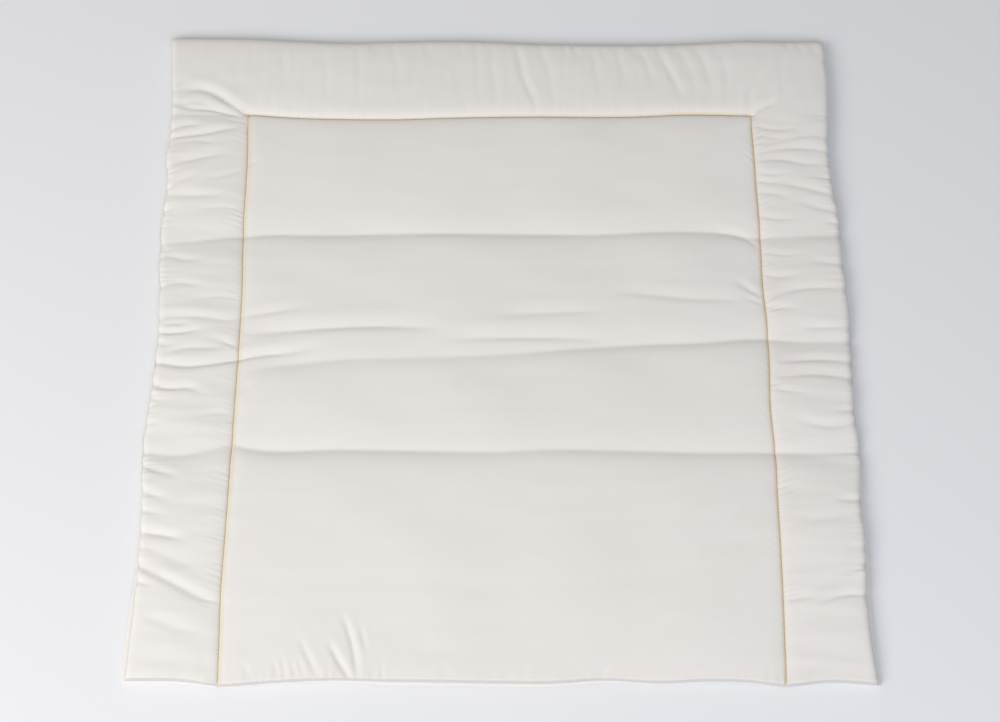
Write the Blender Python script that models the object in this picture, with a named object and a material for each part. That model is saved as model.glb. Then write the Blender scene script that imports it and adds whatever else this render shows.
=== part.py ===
"""Padded changing mat of undyed cotton, lying flat: a filled pad and the back cloth sewn to its edge.

Metres, +Z up. The mat rests on z = 0, its head end is at +Y and its foot end at -Y. The pad has a
sewn line that runs up the left side, across the head end and down the right side, three soft cross
grooves, and creases that gather from the sewn line and the seam.
"""

import math
from typing import NamedTuple

import bpy
import numpy as np

MM = 0.001

# Overall sizes, from which the half sizes follow
MAT_WIDTH = 0.800
MAT_DEPTH = 0.790
HALF_WIDTH = MAT_WIDTH / 2.0
HALF_DEPTH = MAT_DEPTH / 2.0

# Height of the filled pad above the floor and how it rounds over to its seam
PAD_HEIGHT = 0.0215
EDGE_ROUND = 0.046
PANEL_CROWN = 0.0022
PANEL_REACH = 0.060

# The sewn line: its distance from the seam, how deep it pulls and how far its pull reaches
SIDE_BORDER = 0.098
HEAD_BORDER = 0.110
SEWN_X = HALF_WIDTH - SIDE_BORDER
SEWN_Y = HALF_DEPTH - HEAD_BORDER
SEWN_DEPTH = 0.0085
SEWN_PULL = 0.032

# Cloth and seam: the back cloth's thickness, its clearance to the pad, the pad's sewn rim
CLOTH = 0.0015
CLEARANCE = 0.0004
RIM = 0.0015

# Lift of the back cloth off the floor at the seam, and how far the corners lie down
HEAD_LIFT = 0.0045
SIDE_LIFT = 0.0028
FOOT_LIFT = 0.0022
CORNER_LIE = 0.070

# Rings of the underside: how far in from the seam, and the share of the lift there
UNDER_INSETS = (0.0, 0.008, 0.020)
UNDER_SHARES = (1.0, 0.25, 0.0)

# A fold that meets the seam draws it in by this much, along this stretch of it
NOTCH_DEPTH = 0.0012
NOTCH_LENGTH = 0.007
NOTCH_ZONE = 0.385
NOTCH_LIMIT = 0.0018

# A fold's near wall is steeper than its far wall, and a low ridge stands behind it
NEAR_WALL = 0.65
RIDGE_SHARE = 0.35
RIDGE_PLACE = 1.9

# Steps along a fold's curve, and the share of its length within which a crease has faded out
FOLD_STEPS = 24
FADED = 0.02

# A cross groove also sags gently over a wide stretch, which crowns the panels beside it
GROOVE_SAG = 1.8
GROOVE_REACH = 30

# The back cloth's roll past the seam fades along the neighbouring seam within this length
ROLL_BLEND = 0.016

# The draw of the foot's seam fades out this far in from the seam
FOOT_BORDER = 0.110

# Edges sharper than this angle, in degrees, are shaded as crisp
RIM_ANGLE = 50.0


class SideRow(NamedTuple):
    """Sides at one place along the depth, in millimetres drawn in towards the middle."""

    y: float
    left_seam: float
    left_sewn: float
    right_sewn: float
    right_seam: float
    left_roll: float
    right_roll: float


SIDE_ROWS = (
    SideRow(-392, 3, 4, -1, -3, 4, 3),
    SideRow(-350, 5, 3, -2, 2, 5, 5),
    SideRow(-300, 7, 1, -3, 3, 4, 4),
    SideRow(-240, 7, 2, -3, 2, 1, 3),
    SideRow(-190, 6, 3, -3, 3, 0, 2),
    SideRow(-140, 2, 4, -3, -1, 0, 1),
    SideRow(-80, 5, 4, -1, 2, 0, 0),
    SideRow(-40, 8, 4, -2, 1, 0, 0),
    SideRow(15, 9, 5, -3, -1, 0, 0),
    SideRow(60, 7, 5, -2, 0, 0, 0),
    SideRow(105, 3, 3, -1, 2, 0, 0),
    SideRow(145, 3, 2, -1, 1, 0, 0),
    SideRow(180, 5, 2, -1, 5, 0, 0),
    SideRow(230, 3, 2, 0, 8, 0, 0),
    SideRow(270, 5, 0, 1, 7, 0, 0),
    SideRow(300, 4, -2, 0, 5, 0, 0),
    SideRow(350, 1, 0, 0, 3, 0, 0),
    SideRow(392, -3, 0, 0, 4, 0, 0),
)


class EndRow(NamedTuple):
    """Head and foot ends at one place across the width, in millimetres drawn in towards the middle."""

    x: float
    head_seam: float
    head_sewn: float
    foot_seam: float
    foot_roll: float


END_ROWS = (
    EndRow(-400, -2, -2, 7, 2),
    EndRow(-340, -1, -2, 6, 2),
    EndRow(-300, 0, -2, 1, 1),
    EndRow(-250, 2, 0, 4, 0),
    EndRow(-185, 5, 2, 7, 0),
    EndRow(-125, 2, 2, 6, 4),
    EndRow(-60, 2, 1, 5, 4),
    EndRow(0, 4, 0, 4, 4),
    EndRow(55, 7, 0, 4, 4),
    EndRow(105, 8, 0, 7, 2),
    EndRow(170, 7, -1, 4, 0),
    EndRow(220, 6, -3, 6, 0),
    EndRow(260, 4, -3, 5, 0),
    EndRow(300, 2, -2, 1, 0),
    EndRow(350, 4, 0, 5, 0),
    EndRow(400, 1, 0, 2, 0),
)


class Fold(NamedTuple):
    """One trough in the top: its depth and half width in millimetres, and the points it runs through."""

    depth: float
    width: float
    path: tuple


# Cross grooves, which run from seam to seam and don't fade
GROOVES = (
    Fold(5.0, 10, ((-400, 114), (-340, 119), (-299, 125), (-120, 129), (60, 126), (190, 129), (300, 121),
                   (350, 124), (400, 128))),
    Fold(4.5, 10, ((400, -9), (340, -12), (303, -5), (220, -10), (110, -14), (20, -23), (-110, -29),
                   (-226, -37), (-296, -33), (-345, -41), (-400, -35))),
    Fold(5.0, 9, ((-400, -140), (-354, -144), (-299, -131), (-250, -138), (-110, -140), (0, -144),
                  (50, -140), (220, -141), (350, -142), (400, -140))),
)

# Creases, which fade towards both ends
CENTRE_FOLDS = (
    Fold(3.5, 9, ((-287, 1), (-205, 8), (-70, 8))),
    Fold(2.5, 9, ((-60, -5), (25, -3), (118, -6))),
    Fold(1.8, 8, ((-294, 22), (-262, 27), (-225, 33))),
    Fold(1.5, 8, ((-5, 24), (57, 27), (118, 29))),
    Fold(1.8, 8, ((135, 53), (215, 45), (278, 43))),
    Fold(2.5, 6, ((268, 68), (284, 56), (302, 45))),
    Fold(0.9, 16, ((-275, -287), (0, -290), (285, -287))),
)
LEFT_FOLDS = (
    Fold(3.0, 7, ((-302, 285), (-330, 301), (-380, 316))),
    Fold(1.6, 7, ((-388, 298), (-363, 300), (-340, 295))),
    Fold(1.6, 9, ((-394, 283), (-352, 283), (-308, 284))),
    Fold(2.6, 7, ((-398, 250), (-352, 257), (-314, 265))),
    Fold(2.2, 8, ((-398, 211), (-364, 222), (-322, 230))),
    Fold(1.8, 8, ((-398, 177), (-353, 176), (-320, 177))),
    Fold(1.3, 7, ((-398, 98), (-370, 96), (-345, 94))),
    Fold(1.5, 7, ((-392, 19), (-343, 22), (-300, 20))),
    Fold(2.4, 6, ((-396, 4), (-370, 2), (-340, 6))),
    Fold(1.6, 7, ((-383, -25), (-360, -18), (-315, -16))),
    Fold(2.6, 7, ((-398, -59), (-370, -65), (-335, -71))),
    Fold(2.2, 7, ((-398, -154), (-375, -162), (-355, -167))),
    Fold(1.6, 7, ((-398, -183), (-380, -189), (-362, -195))),
    Fold(2.4, 7, ((-398, -230), (-366, -235), (-342, -240))),
    Fold(3.0, 8, ((-398, -266), (-347, -292), (-302, -306))),
    Fold(1.6, 9, ((-382, -321), (-346, -335), (-315, -340))),
)
RIGHT_FOLDS = (
    Fold(2.4, 7, ((302, 285), (316, 293), (334, 304))),
    Fold(1.4, 7, ((298, 298), (304, 316), (318, 338))),
    Fold(1.7, 7, ((303, 233), (350, 238), (394, 233))),
    Fold(1.7, 7, ((303, 221), (345, 222), (394, 219))),
    Fold(1.8, 8, ((328, 194), (362, 185), (396, 176))),
    Fold(1.8, 8, ((352, 165), (374, 161), (398, 154))),
    Fold(2.2, 8, ((305, 43), (345, 56), (398, 58))),
    Fold(1.8, 7, ((342, 9), (370, 10), (400, 11))),
    Fold(2.2, 7, ((320, -33), (356, -30), (400, -32))),
    Fold(1.7, 8, ((308, -51), (360, -48), (398, -53))),
    Fold(1.7, 8, ((332, -103), (368, -110), (398, -105))),
    Fold(1.7, 7, ((368, -195), (384, -195), (399, -195))),
    Fold(1.5, 8, ((368, -278), (382, -273), (398, -267))),
    Fold(2.0, 8, ((336, -310), (368, -300), (398, -300))),
)
HEAD_FOLDS = (
    Fold(2.6, 8, ((14, 388), (27, 336), (43, 286))),
    Fold(2.6, 8, ((188, 384), (203, 344), (217, 308))),
    Fold(1.7, 8, ((230, 384), (246, 348), (253, 316))),
    Fold(1.7, 8, ((163, 384), (178, 354), (182, 327))),
    Fold(1.4, 8, ((109, 384), (114, 354), (118, 327))),
    Fold(1.4, 8, ((57, 380), (60, 332), (66, 298))),
    Fold(1.4, 8, ((-10, 388), (-9, 344), (-6, 292))),
    Fold(1.2, 8, ((-50, 384), (-50, 339), (-46, 294))),
    Fold(1.4, 7, ((-94, 388), (-90, 374), (-84, 358))),
    Fold(1.6, 7, ((344, 388), (351, 376), (358, 364))),
    Fold(1.6, 7, ((374, 384), (382, 372), (388, 358))),
)
FOOT_FOLDS = (
    Fold(2.4, 7, ((-154, -394), (-166, -376), (-183, -352))),
    Fold(2.4, 7, ((-148, -394), (-155, -362), (-169, -322))),
    Fold(2.0, 6, ((103, -394), (108, -388), (116, -378))),
    Fold(1.4, 7, ((-192, -390), (-203, -368), (-214, -350))),
    Fold(1.6, 8, ((-316, -346), (-306, -370), (-300, -394))),
)
CREASES = CENTRE_FOLDS + LEFT_FOLDS + RIGHT_FOLDS + HEAD_FOLDS + FOOT_FOLDS


class Stretch(NamedTuple):
    """Run of grid lines up to one place, with the pitch between them, in millimetres."""

    to: float
    pitch: float


# Distances of the grid lines in from the seam, dense where the pad rounds over, in millimetres
RIM_LINES = (0, 3, 8, 16, 28, 44)
# Grid lines closer than this are the same line
SAME_LINE = 0.0005
# Columns between the sewn lines are split in this many from a little below the head's sewn line
HEAD_SPLIT = 3
SPLIT_FROM = SEWN_Y - 0.026
# Grid lines across the middle and along the depth, closer where grooves and creases need them
COLUMN_STRETCHES = (
    Stretch(-314, 14),
    Stretch(-SEWN_X / MM, 12),
    Stretch(-290, 12),
    Stretch(-270, 20),
    Stretch(270, 27),
    Stretch(290, 20),
    Stretch(SEWN_X / MM, 12),
    Stretch(314, 12),
    Stretch(342, 14),
)
ROW_STRETCHES = (
    Stretch(-165, 11.2),
    Stretch(-120, 7.5),
    Stretch(-70, 10),
    Stretch(38, 7.2),
    Stretch(104, 11),
    Stretch(146, 7),
    Stretch(SPLIT_FROM / MM, 9.5),
    Stretch(SEWN_Y / MM - 6, 10),
    Stretch(SEWN_Y / MM, 6),
    Stretch(SEWN_Y / MM + 8, 8),
    Stretch(337, 14),
)

TOP_COLOUR = (0.77, 0.745, 0.69)
BACK_COLOUR = (0.80, 0.76, 0.68)
CLOTH_ROUGHNESS = 0.92


def clear_scene():
    """Remove every object that the new scene starts with."""
    for old in list(bpy.data.objects):
        bpy.data.objects.remove(old, do_unlink=True)


def through(stations, values, at):
    """Smooth curve through a table's values, with the slope of a cubic at each station."""
    stations = np.asarray(stations, dtype=float)
    values = np.asarray(values, dtype=float)
    slopes = np.gradient(values, stations)
    at = np.clip(at, stations[0], stations[-1])
    cell = np.clip(np.searchsorted(stations, at) - 1, 0, len(stations) - 2)
    length = stations[cell + 1] - stations[cell]
    t = (at - stations[cell]) / length
    rise = values[cell + 1] - values[cell]
    start = slopes[cell] * length
    end = slopes[cell + 1] * length
    bend = (3.0 * rise - 2.0 * start - end) * t ** 2 + (start + end - 2.0 * rise) * t ** 3
    return values[cell] + start * t + bend


def side_value(column, y):
    """Value in metres of one column of the side table at places along the depth."""
    stations = [row.y * MM for row in SIDE_ROWS]
    values = [getattr(row, column) * MM for row in SIDE_ROWS]
    return through(stations, values, y)


def end_value(column, x):
    """Value in metres of one column of the end table at places across the width."""
    stations = [row.x * MM for row in END_ROWS]
    values = [getattr(row, column) * MM for row in END_ROWS]
    return through(stations, values, x)


def notches(y, side):
    """Draw of the seam on one side (-1 left, 1 right) where folds meet it."""
    total = np.zeros_like(y)
    for fold in CREASES + GROOVES:
        for x_end, y_end in (fold.path[0], fold.path[-1]):
            if side * x_end * MM > NOTCH_ZONE:
                total += NOTCH_DEPTH * np.exp(-((y - y_end * MM) / NOTCH_LENGTH) ** 2)
    return np.minimum(total, NOTCH_LIMIT)


def between(values, starts, ends, line, seam):
    """Blend of a sewn line's shift into a seam's shift across a border."""
    share = np.clip((values - starts) / (ends - starts), 0.0, 1.0)
    return line + (seam - line) * share


def settled(p, q):
    """Real place of points given on the plain rectangle, after its sides are drawn in."""
    left = between(-p, SEWN_X, HALF_WIDTH, side_value("left_sewn", q),
                   side_value("left_seam", q) + notches(q, -1))
    right = between(p, SEWN_X, HALF_WIDTH, side_value("right_sewn", q),
                    side_value("right_seam", q) + notches(q, 1))
    across = np.clip(0.5 + 0.5 * p / SEWN_X, 0.0, 1.0)
    x = p + left * (1.0 - across) - right * across
    head = between(q, SEWN_Y, HALF_DEPTH, end_value("head_sewn", p), end_value("head_seam", p))
    foot = between(-q, HALF_DEPTH - FOOT_BORDER, HALF_DEPTH, np.zeros_like(p), end_value("foot_seam", p))
    along = np.clip(q / SEWN_Y, 0.0, 1.0)
    y = q - head * along + foot
    return x, y


def inset_of(p, q):
    """Distances in from the side seams and from the end seams, on the plain rectangle."""
    return HALF_WIDTH - np.abs(p), HALF_DEPTH - np.abs(q)


def quarter_round(inset):
    """Share of the full height at a distance in from a seam, a quarter of an ellipse."""
    share = np.clip(inset / EDGE_ROUND, 0.0, 1.0)
    return np.sqrt(1.0 - (1.0 - share) ** 2)


def seam_lift(p, q):
    """Height of the back cloth's underside at the nearest seam: lifted midway, down at the corners."""
    side, end = inset_of(p, q)
    end_lift = np.where(q > 0.0, HEAD_LIFT, FOOT_LIFT)
    lift = np.where(side < end, SIDE_LIFT, end_lift)
    from_corner = np.maximum(side, end)
    return lift * (1.0 - np.exp(-(from_corner / CORNER_LIE) ** 2))


def sewn_distance(p, q):
    """Distance to the sewn line, which runs up one side, across the head and down the other."""
    to_side = np.hypot(np.abs(p) - SEWN_X, np.maximum(q - SEWN_Y, 0.0))
    to_head = np.hypot(q - SEWN_Y, np.maximum(np.abs(p) - SEWN_X, 0.0))
    return np.minimum(to_side, to_head)


def fold_points(fold):
    """Points along a fold, in metres, on a smooth curve through its own points."""
    knots = np.array(fold.path, dtype=float) * MM
    steps = np.hypot(*np.diff(knots, axis=0).T)
    along = np.concatenate(([0.0], np.cumsum(steps)))
    at = np.linspace(0.0, along[-1], FOLD_STEPS + 1)
    return np.stack([through(along, knots[:, 0], at), through(along, knots[:, 1], at)], axis=1)


def fold_relief(fold, x, y, fades):
    """Height that one fold takes away or adds: a trough with a low ridge behind its far wall."""
    points = fold_points(fold)
    starts = points[:-1]
    runs = points[1:] - starts
    lengths = np.hypot(runs[:, 0], runs[:, 1])
    dx = x[:, None] - starts[:, 0]
    dy = y[:, None] - starts[:, 1]
    t = np.clip((dx * runs[:, 0] + dy * runs[:, 1]) / lengths ** 2, 0.0, 1.0)
    distance = np.hypot(dx - t * runs[:, 0], dy - t * runs[:, 1])
    nearest = np.argmin(distance, axis=1)
    pick = np.arange(len(x))
    distance = distance[pick, nearest]
    side = np.sign(runs[nearest, 0] * dy[pick, nearest] - runs[nearest, 1] * dx[pick, nearest])
    far = side * np.sign(points[-1, 0] - points[0, 0]) > 0.0
    width = fold.width * MM
    reach = np.where(far, distance / width, -distance / (width * NEAR_WALL))
    along = (nearest + t[pick, nearest]) / FOLD_STEPS
    strength = np.sqrt(np.sin(np.pi * np.clip(along, FADED, 1.0 - FADED))) if fades else np.ones_like(along)
    trough = -np.exp(-reach ** 2) + RIDGE_SHARE * np.exp(-(reach - RIDGE_PLACE) ** 2)
    return fold.depth * MM * strength * trough


def top_height(p, q, x, y):
    """Height of the pad's top: rounded to the seam, pulled in by the sewn line and folded."""
    side, end = inset_of(p, q)
    full = quarter_round(side) * quarter_round(end)
    rim = seam_lift(p, q) + CLOTH + CLEARANCE + RIM
    sewn = sewn_distance(p, q)
    relief = PANEL_CROWN * np.clip(sewn / PANEL_REACH, 0.0, 1.0)
    relief -= SEWN_DEPTH * np.clip(1.0 - sewn / SEWN_PULL, 0.0, 1.0) ** 2
    for groove in GROOVES:
        sag = Fold(GROOVE_SAG, GROOVE_REACH, groove.path)
        relief += fold_relief(groove, x, y, False) + fold_relief(sag, x, y, False)
    for crease in CREASES:
        relief += fold_relief(crease, x, y, True)
    return rim + (PAD_HEIGHT - rim + relief) * full


def grid_lines(half, stretches):
    """Places of the grid lines in metres: the rim's lines, the stretches, the rim's lines again."""
    places = [line - half / MM for line in RIM_LINES]
    for stretch in stretches:
        here = places[-1]
        count = max(1, round((stretch.to - here) / stretch.pitch))
        places.extend(here + (stretch.to - here) * step / count for step in range(1, count + 1))
    places.extend(half / MM - line for line in reversed(RIM_LINES))
    return np.array(places) * MM


def split_between_sewn(columns):
    """The columns with each stretch between the sewn lines split for the head border's folds."""
    places = [columns[0]]
    for left, right in zip(columns[:-1], columns[1:]):
        inside = abs(left + right) / 2.0 < SEWN_X
        count = HEAD_SPLIT if inside else 1
        places.extend(left + (right - left) * step / count for step in range(1, count + 1))
    return np.array(places)


def strip_faces(lower, upper, lower_at, upper_at):
    """Faces between two rows of the grid, where the upper row may have more columns."""
    faces = []
    here = 0
    for place in range(len(lower) - 1):
        chain = [upper_at + here]
        while upper[here] < lower[place + 1] - SAME_LINE:
            here += 1
            chain.append(upper_at + here)
        faces.append([lower_at + place, lower_at + place + 1] + chain[::-1])
    return faces


def top_grid():
    """Grid over the plain rectangle: its points, its faces and its border, anticlockwise."""
    columns = grid_lines(HALF_WIDTH, COLUMN_STRETCHES)
    head_columns = split_between_sewn(columns)
    rows = grid_lines(HALF_DEPTH, ROW_STRETCHES)
    row_columns = [head_columns if q > SPLIT_FROM - SAME_LINE else columns for q in rows]
    starts = np.concatenate(([0], np.cumsum([len(line) for line in row_columns])))
    p = np.concatenate(row_columns)
    q = np.concatenate([np.full(len(line), place) for line, place in zip(row_columns, rows)])
    faces = []
    for row in range(len(rows) - 1):
        faces += strip_faces(row_columns[row], row_columns[row + 1], int(starts[row]), int(starts[row + 1]))
    foot = list(range(int(starts[0]), int(starts[1])))
    right = [int(start) - 1 for start in starts[2:]]
    head = list(range(int(starts[-1]) - 2, int(starts[-2]) - 1, -1))
    left = [int(start) for start in starts[-3:0:-1]]
    return p, q, faces, foot + right + head + left


def ring(p, q, inset):
    """Real place of the border's points moved in from the seam."""
    return settled(p * (1.0 - inset / HALF_WIDTH), q * (1.0 - inset / HALF_DEPTH))


def rolled_out(p, q):
    """Real place of the back cloth's edge, which rolls out past the pad's seam."""
    x, y = ring(p, q, 0.0)
    side, end = inset_of(p, q)
    near_side = np.clip(1.0 - side / ROLL_BLEND, 0.0, 1.0)
    near_foot = np.clip(1.0 - end / ROLL_BLEND, 0.0, 1.0) * (q < 0.0)
    side_roll = np.where(p < 0.0, side_value("left_roll", q), side_value("right_roll", q))
    return x + np.sign(p) * side_roll * near_side, y - end_value("foot_roll", p) * near_foot


def under_rings(p, q, rise, outer):
    """Points of the underside's rings, from the seam inwards, raised by a set height."""
    rings = []
    for inset, share in zip(UNDER_INSETS, UNDER_SHARES):
        x, y = outer if inset == 0.0 else ring(p, q, inset)
        rings.append(np.stack([x, y, seam_lift(p, q) * share + rise], axis=1))
    return rings


def loop_of(start, count):
    """Indices of one ring."""
    return list(range(start, start + count))


def band(outer, inner, up):
    """Quads between two rings, facing up or down."""
    faces = []
    for here, out in enumerate(outer):
        after = (here + 1) % len(outer)
        if up:
            faces.append([out, outer[after], inner[after], inner[here]])
        else:
            faces.append([out, inner[here], inner[after], outer[after]])
    return faces


def cap_faces(loops, up):
    """Bands from the outermost ring inwards and the flat face inside the last ring."""
    faces = []
    for outer, inner in zip(loops[:-1], loops[1:]):
        faces += band(outer, inner, up)
    faces.append(loops[-1] if up else loops[-1][::-1])
    return faces


def wall_faces(low, high):
    """Quads of the wall between a lower and an upper ring, facing outwards."""
    count = len(low)
    return [[low[k], low[(k + 1) % count], high[(k + 1) % count], high[k]] for k in range(count)]


def pad_mesh(p, q, faces, border):
    """Points and faces of the filled pad."""
    x, y = settled(p, q)
    points = [np.stack([x, y, top_height(p, q, x, y)], axis=1)]
    edge_p, edge_q = p[border], q[border]
    points += under_rings(edge_p, edge_q, CLOTH + CLEARANCE, (x[border], y[border]))
    count = len(border)
    loops = [loop_of(len(p) + k * count, count) for k in range(len(UNDER_INSETS))]
    return np.concatenate(points), faces + wall_faces(loops[0], border) + cap_faces(loops, False)


def back_mesh(p, q, border):
    """Points and faces of the back cloth."""
    edge_p, edge_q = p[border], q[border]
    outer = rolled_out(edge_p, edge_q)
    points = under_rings(edge_p, edge_q, 0.0, outer) + under_rings(edge_p, edge_q, CLOTH, outer)
    count = len(border)
    loops = [loop_of(k * count, count) for k in range(2 * len(UNDER_INSETS))]
    low = loops[:len(UNDER_INSETS)]
    high = loops[len(UNDER_INSETS):]
    return np.concatenate(points), cap_faces(low, False) + wall_faces(low[0], high[0]) + cap_faces(high, True)


def cloth_material(name, colour):
    """Matt cloth of one colour."""
    material = bpy.data.materials.new(name)
    material.use_nodes = True
    shader = material.node_tree.nodes["Principled BSDF"]
    shader.inputs["Base Color"].default_value = (*colour, 1.0)
    shader.inputs["Roughness"].default_value = CLOTH_ROUGHNESS
    shader.inputs["Metallic"].default_value = 0.0
    return material


def add_piece(name, points, faces, material):
    """Put one piece into the scene as a smooth-shaded mesh with a crisp rim."""
    mesh = bpy.data.meshes.new(name)
    mesh.from_pydata(points.tolist(), [], faces)
    mesh.materials.append(material)
    mesh.shade_smooth()
    mesh.set_sharp_from_angle(angle=math.radians(RIM_ANGLE))
    piece = bpy.data.objects.new(name, mesh)
    bpy.context.scene.collection.objects.link(piece)
    return piece


def main():
    """Build the mat with the middle of its outline over the origin."""
    clear_scene()
    p, q, faces, border = top_grid()
    pad_points, pad_faces = pad_mesh(p, q, faces, border)
    back_points, back_faces = back_mesh(p, q, border)
    both = np.concatenate([pad_points, back_points])
    middle = 0.5 * (both.min(axis=0) + both.max(axis=0))
    middle[2] = 0.0
    add_piece("back_cloth", back_points - middle, back_faces, cloth_material("back_cotton", BACK_COLOUR))
    add_piece("mat_pad", pad_points - middle, pad_faces, cloth_material("top_cotton", TOP_COLOUR))


main()
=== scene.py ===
"""Padded changing mat of undyed cotton, dressed for its picture.

The mat is worked out over a plain rectangle (p, q), in metres, which is then settled to its real
outline (x, y): the sides are drawn in a little unevenly, as a sewn pad's are. The head end is at +Y.
"""

import logging
import math
from dataclasses import dataclass, field, replace
from enum import Enum
from typing import Any, NamedTuple

import bpy
import numpy as np
import numpy.typing as npt
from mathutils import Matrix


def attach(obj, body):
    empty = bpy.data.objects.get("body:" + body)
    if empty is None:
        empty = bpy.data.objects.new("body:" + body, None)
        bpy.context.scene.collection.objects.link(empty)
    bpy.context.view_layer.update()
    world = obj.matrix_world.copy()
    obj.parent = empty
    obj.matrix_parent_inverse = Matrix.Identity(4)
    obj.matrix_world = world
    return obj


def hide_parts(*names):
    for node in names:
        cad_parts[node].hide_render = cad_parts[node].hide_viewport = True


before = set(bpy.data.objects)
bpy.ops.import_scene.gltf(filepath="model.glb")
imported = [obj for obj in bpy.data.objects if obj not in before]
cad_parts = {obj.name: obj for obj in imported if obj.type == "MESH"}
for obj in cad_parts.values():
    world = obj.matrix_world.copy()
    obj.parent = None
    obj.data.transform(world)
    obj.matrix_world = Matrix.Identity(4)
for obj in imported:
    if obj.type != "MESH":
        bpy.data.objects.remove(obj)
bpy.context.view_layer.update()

Array = npt.NDArray[np.float64]
Numbers = npt.NDArray[np.int64]

MM = 0.001
# Pitch in millimetres that is longer than any run beside a seam, so that the run is a single line
SINGLE = 100.0
# Distance in metres that stands for far from the seam or the sewn line
FAR = 0.1
REPORT = logging.getLogger("changing_mat")


class Slot(Enum):
    """Material slots of the record."""

    TOP = "top_cotton"
    BACK = "back_cotton"


class Facing(Enum):
    """Way that a layer's faces look."""

    UP = 1
    DOWN = -1


class SideRow(NamedTuple):
    """Sides at one place along the depth, in millimetres drawn in towards the middle."""

    y: float
    left_seam: float
    left_sewn: float
    right_sewn: float
    right_seam: float
    left_roll: float
    right_roll: float


SIDE_ROWS = (
    SideRow(-392, 3, 4, -0.4, 0, 4, 3),
    SideRow(-350, 5, 3.5, -1, 4, 5, 4),
    SideRow(-300, 7, 2.3, -1.8, 5, 4, 4),
    SideRow(-240, 7, 3.3, -2.1, 2, 1, 3),
    SideRow(-190, 6, 4, -2.1, 3, 0, 2),
    SideRow(-140, 2, 4.3, -3, -1, 0, 1),
    SideRow(-80, 5, 5, -0.4, 2, 0, 0),
    SideRow(-40, 8, 5.5, -2, 1, 0, 0),
    SideRow(15, 9, 6, -2.8, -1, 0, 0),
    SideRow(60, 7, 6, -0.4, 0, 0, 0),
    SideRow(105, 3, 4, -0.8, 2, 0, 0),
    SideRow(145, 3, 2.4, -1, 1, 0, 0),
    SideRow(180, 5, 3, 0, 5, 0, 0),
    SideRow(230, 3, 3, 0.9, 8, 0, 0),
    SideRow(270, 5, 1, 1.8, 7, 0, 0),
    SideRow(300, 4, -1, 0.8, 5, 0, 0),
    SideRow(350, 1, 0, 0, 3, 0, 0),
    SideRow(392, -3, 0, 0, 4, 0, 0),
)


class EndRow(NamedTuple):
    """Head and foot ends at one place across the width, in millimetres drawn in."""

    x: float
    head_seam: float
    head_sewn: float
    foot_seam: float
    foot_roll: float


END_ROWS = (
    EndRow(-400, -2, -2, 7, 2),
    EndRow(-340, 0, -2, 6, 2),
    EndRow(-300, 1.5, -2, 1, 1),
    EndRow(-250, 4, 1.6, 4, 0),
    EndRow(-185, 7, 3.6, 7, 0),
    EndRow(-125, 5, 4, 6, 3),
    EndRow(-60, 4, 2.2, 5, 3),
    EndRow(0, 6, 0.6, 4, 3),
    EndRow(55, 9, 1, 4, 3),
    EndRow(105, 10, 1.1, 7, 2),
    EndRow(170, 10, 0.1, 4, 0),
    EndRow(220, 9, -1.9, 6, 0),
    EndRow(260, 7, -1.9, 5, 0),
    EndRow(300, 5, -1, 1, 0),
    EndRow(350, 5, 0, 5, 0),
    EndRow(400, 3, 0, 2, 0),
)


class Groove(NamedTuple):
    """Soft groove from seam to seam: its near and far wall's reach, and (x, y, depth), in millimetres."""

    near: float
    far: float
    path: tuple[tuple[float, float, float], ...]


GROOVES = (
    Groove(7, 15, ((-400, 117, 2.2), (-361, 119, 2.6), (-332, 123, 3.2), (-299, 126, 3.4), (-280, 128, 4.0),
                   (-200, 128, 4.2), (-117, 130, 4.4), (0, 130, 4.6), (117, 129, 4.4), (187, 132, 4.0),
                   (256, 131, 4.2), (297, 125, 3.6), (349, 126, 3.0), (400, 128, 2.4))),
    Groove(6, 13, ((-292, -46, 0.0), (-260, -37, 1.6), (-226, -33, 2.4), (-181, -28, 2.2), (-113, -26, 1.8),
                   (-23, -23, 2.2), (23, -20, 2.6), (68, -16, 3.2), (159, -9, 4.2), (227, -7, 4.4),
                   (303, -2, 4.0), (341, -6, 3.6), (375, -6, 3.2), (400, -5, 2.6))),
    Groove(7, 16, ((-400, -137, 2.6), (-354, -141, 3.4), (-319, -134, 2.6), (-299, -128, 2.4),
                   (-283, -132, 3.6), (-177, -134, 4.4), (-111, -135, 4.2), (0, -137, 3.4),
                   (44, -135, 3.2), (111, -135, 3.6), (221, -138, 4.2), (305, -138, 4.0),
                   (349, -139, 3.2), (400, -137, 2.4))),
)


class Crease(NamedTuple):
    """Crease that fades at both ends: depth, half width and path in millimetres."""

    depth: float
    width: float
    path: tuple[tuple[float, float], ...]


CENTRE_CREASES = (
    Crease(3.4, 6, ((-420, -33), (-392, -33), (-356, -38), (-333, -36), (-296, -29), (-272, -24), (-238, -21),
                    (-212, -15))),
    Crease(3.2, 9, ((-285, 1), (-205, 8), (-114, 11), (-80, 8))),
    Crease(2.4, 9, ((-57, -5), (0, -3), (68, -3), (114, -5))),
    Crease(1.6, 6, ((-293, 22), (-263, 27), (-229, 33))),
    Crease(1.4, 8, ((0, 24), (57, 27), (114, 29))),
    Crease(1.8, 8, ((138, 53), (230, 44), (275, 43))),
    Crease(1.5, 5, ((271, 68), (286, 56), (301, 47))),
    Crease(0.9, 4, ((281, 47), (300, 38))),
    Crease(1.4, 5, ((250, 131), (276, 127), (292, 117), (299, 106))),
    Crease(0.4, 18, ((-269, -287), (0, -290), (280, -287))),
    Crease(0.9, 4, ((-296, 214), (-287, 223))),
    Crease(0.9, 4, ((-289, -70), (-281, -58))),
    Crease(0.9, 4, ((-295, -163), (-288, -148))),
    Crease(0.9, 4, ((-295, -186), (-289, -169))),
)
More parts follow.
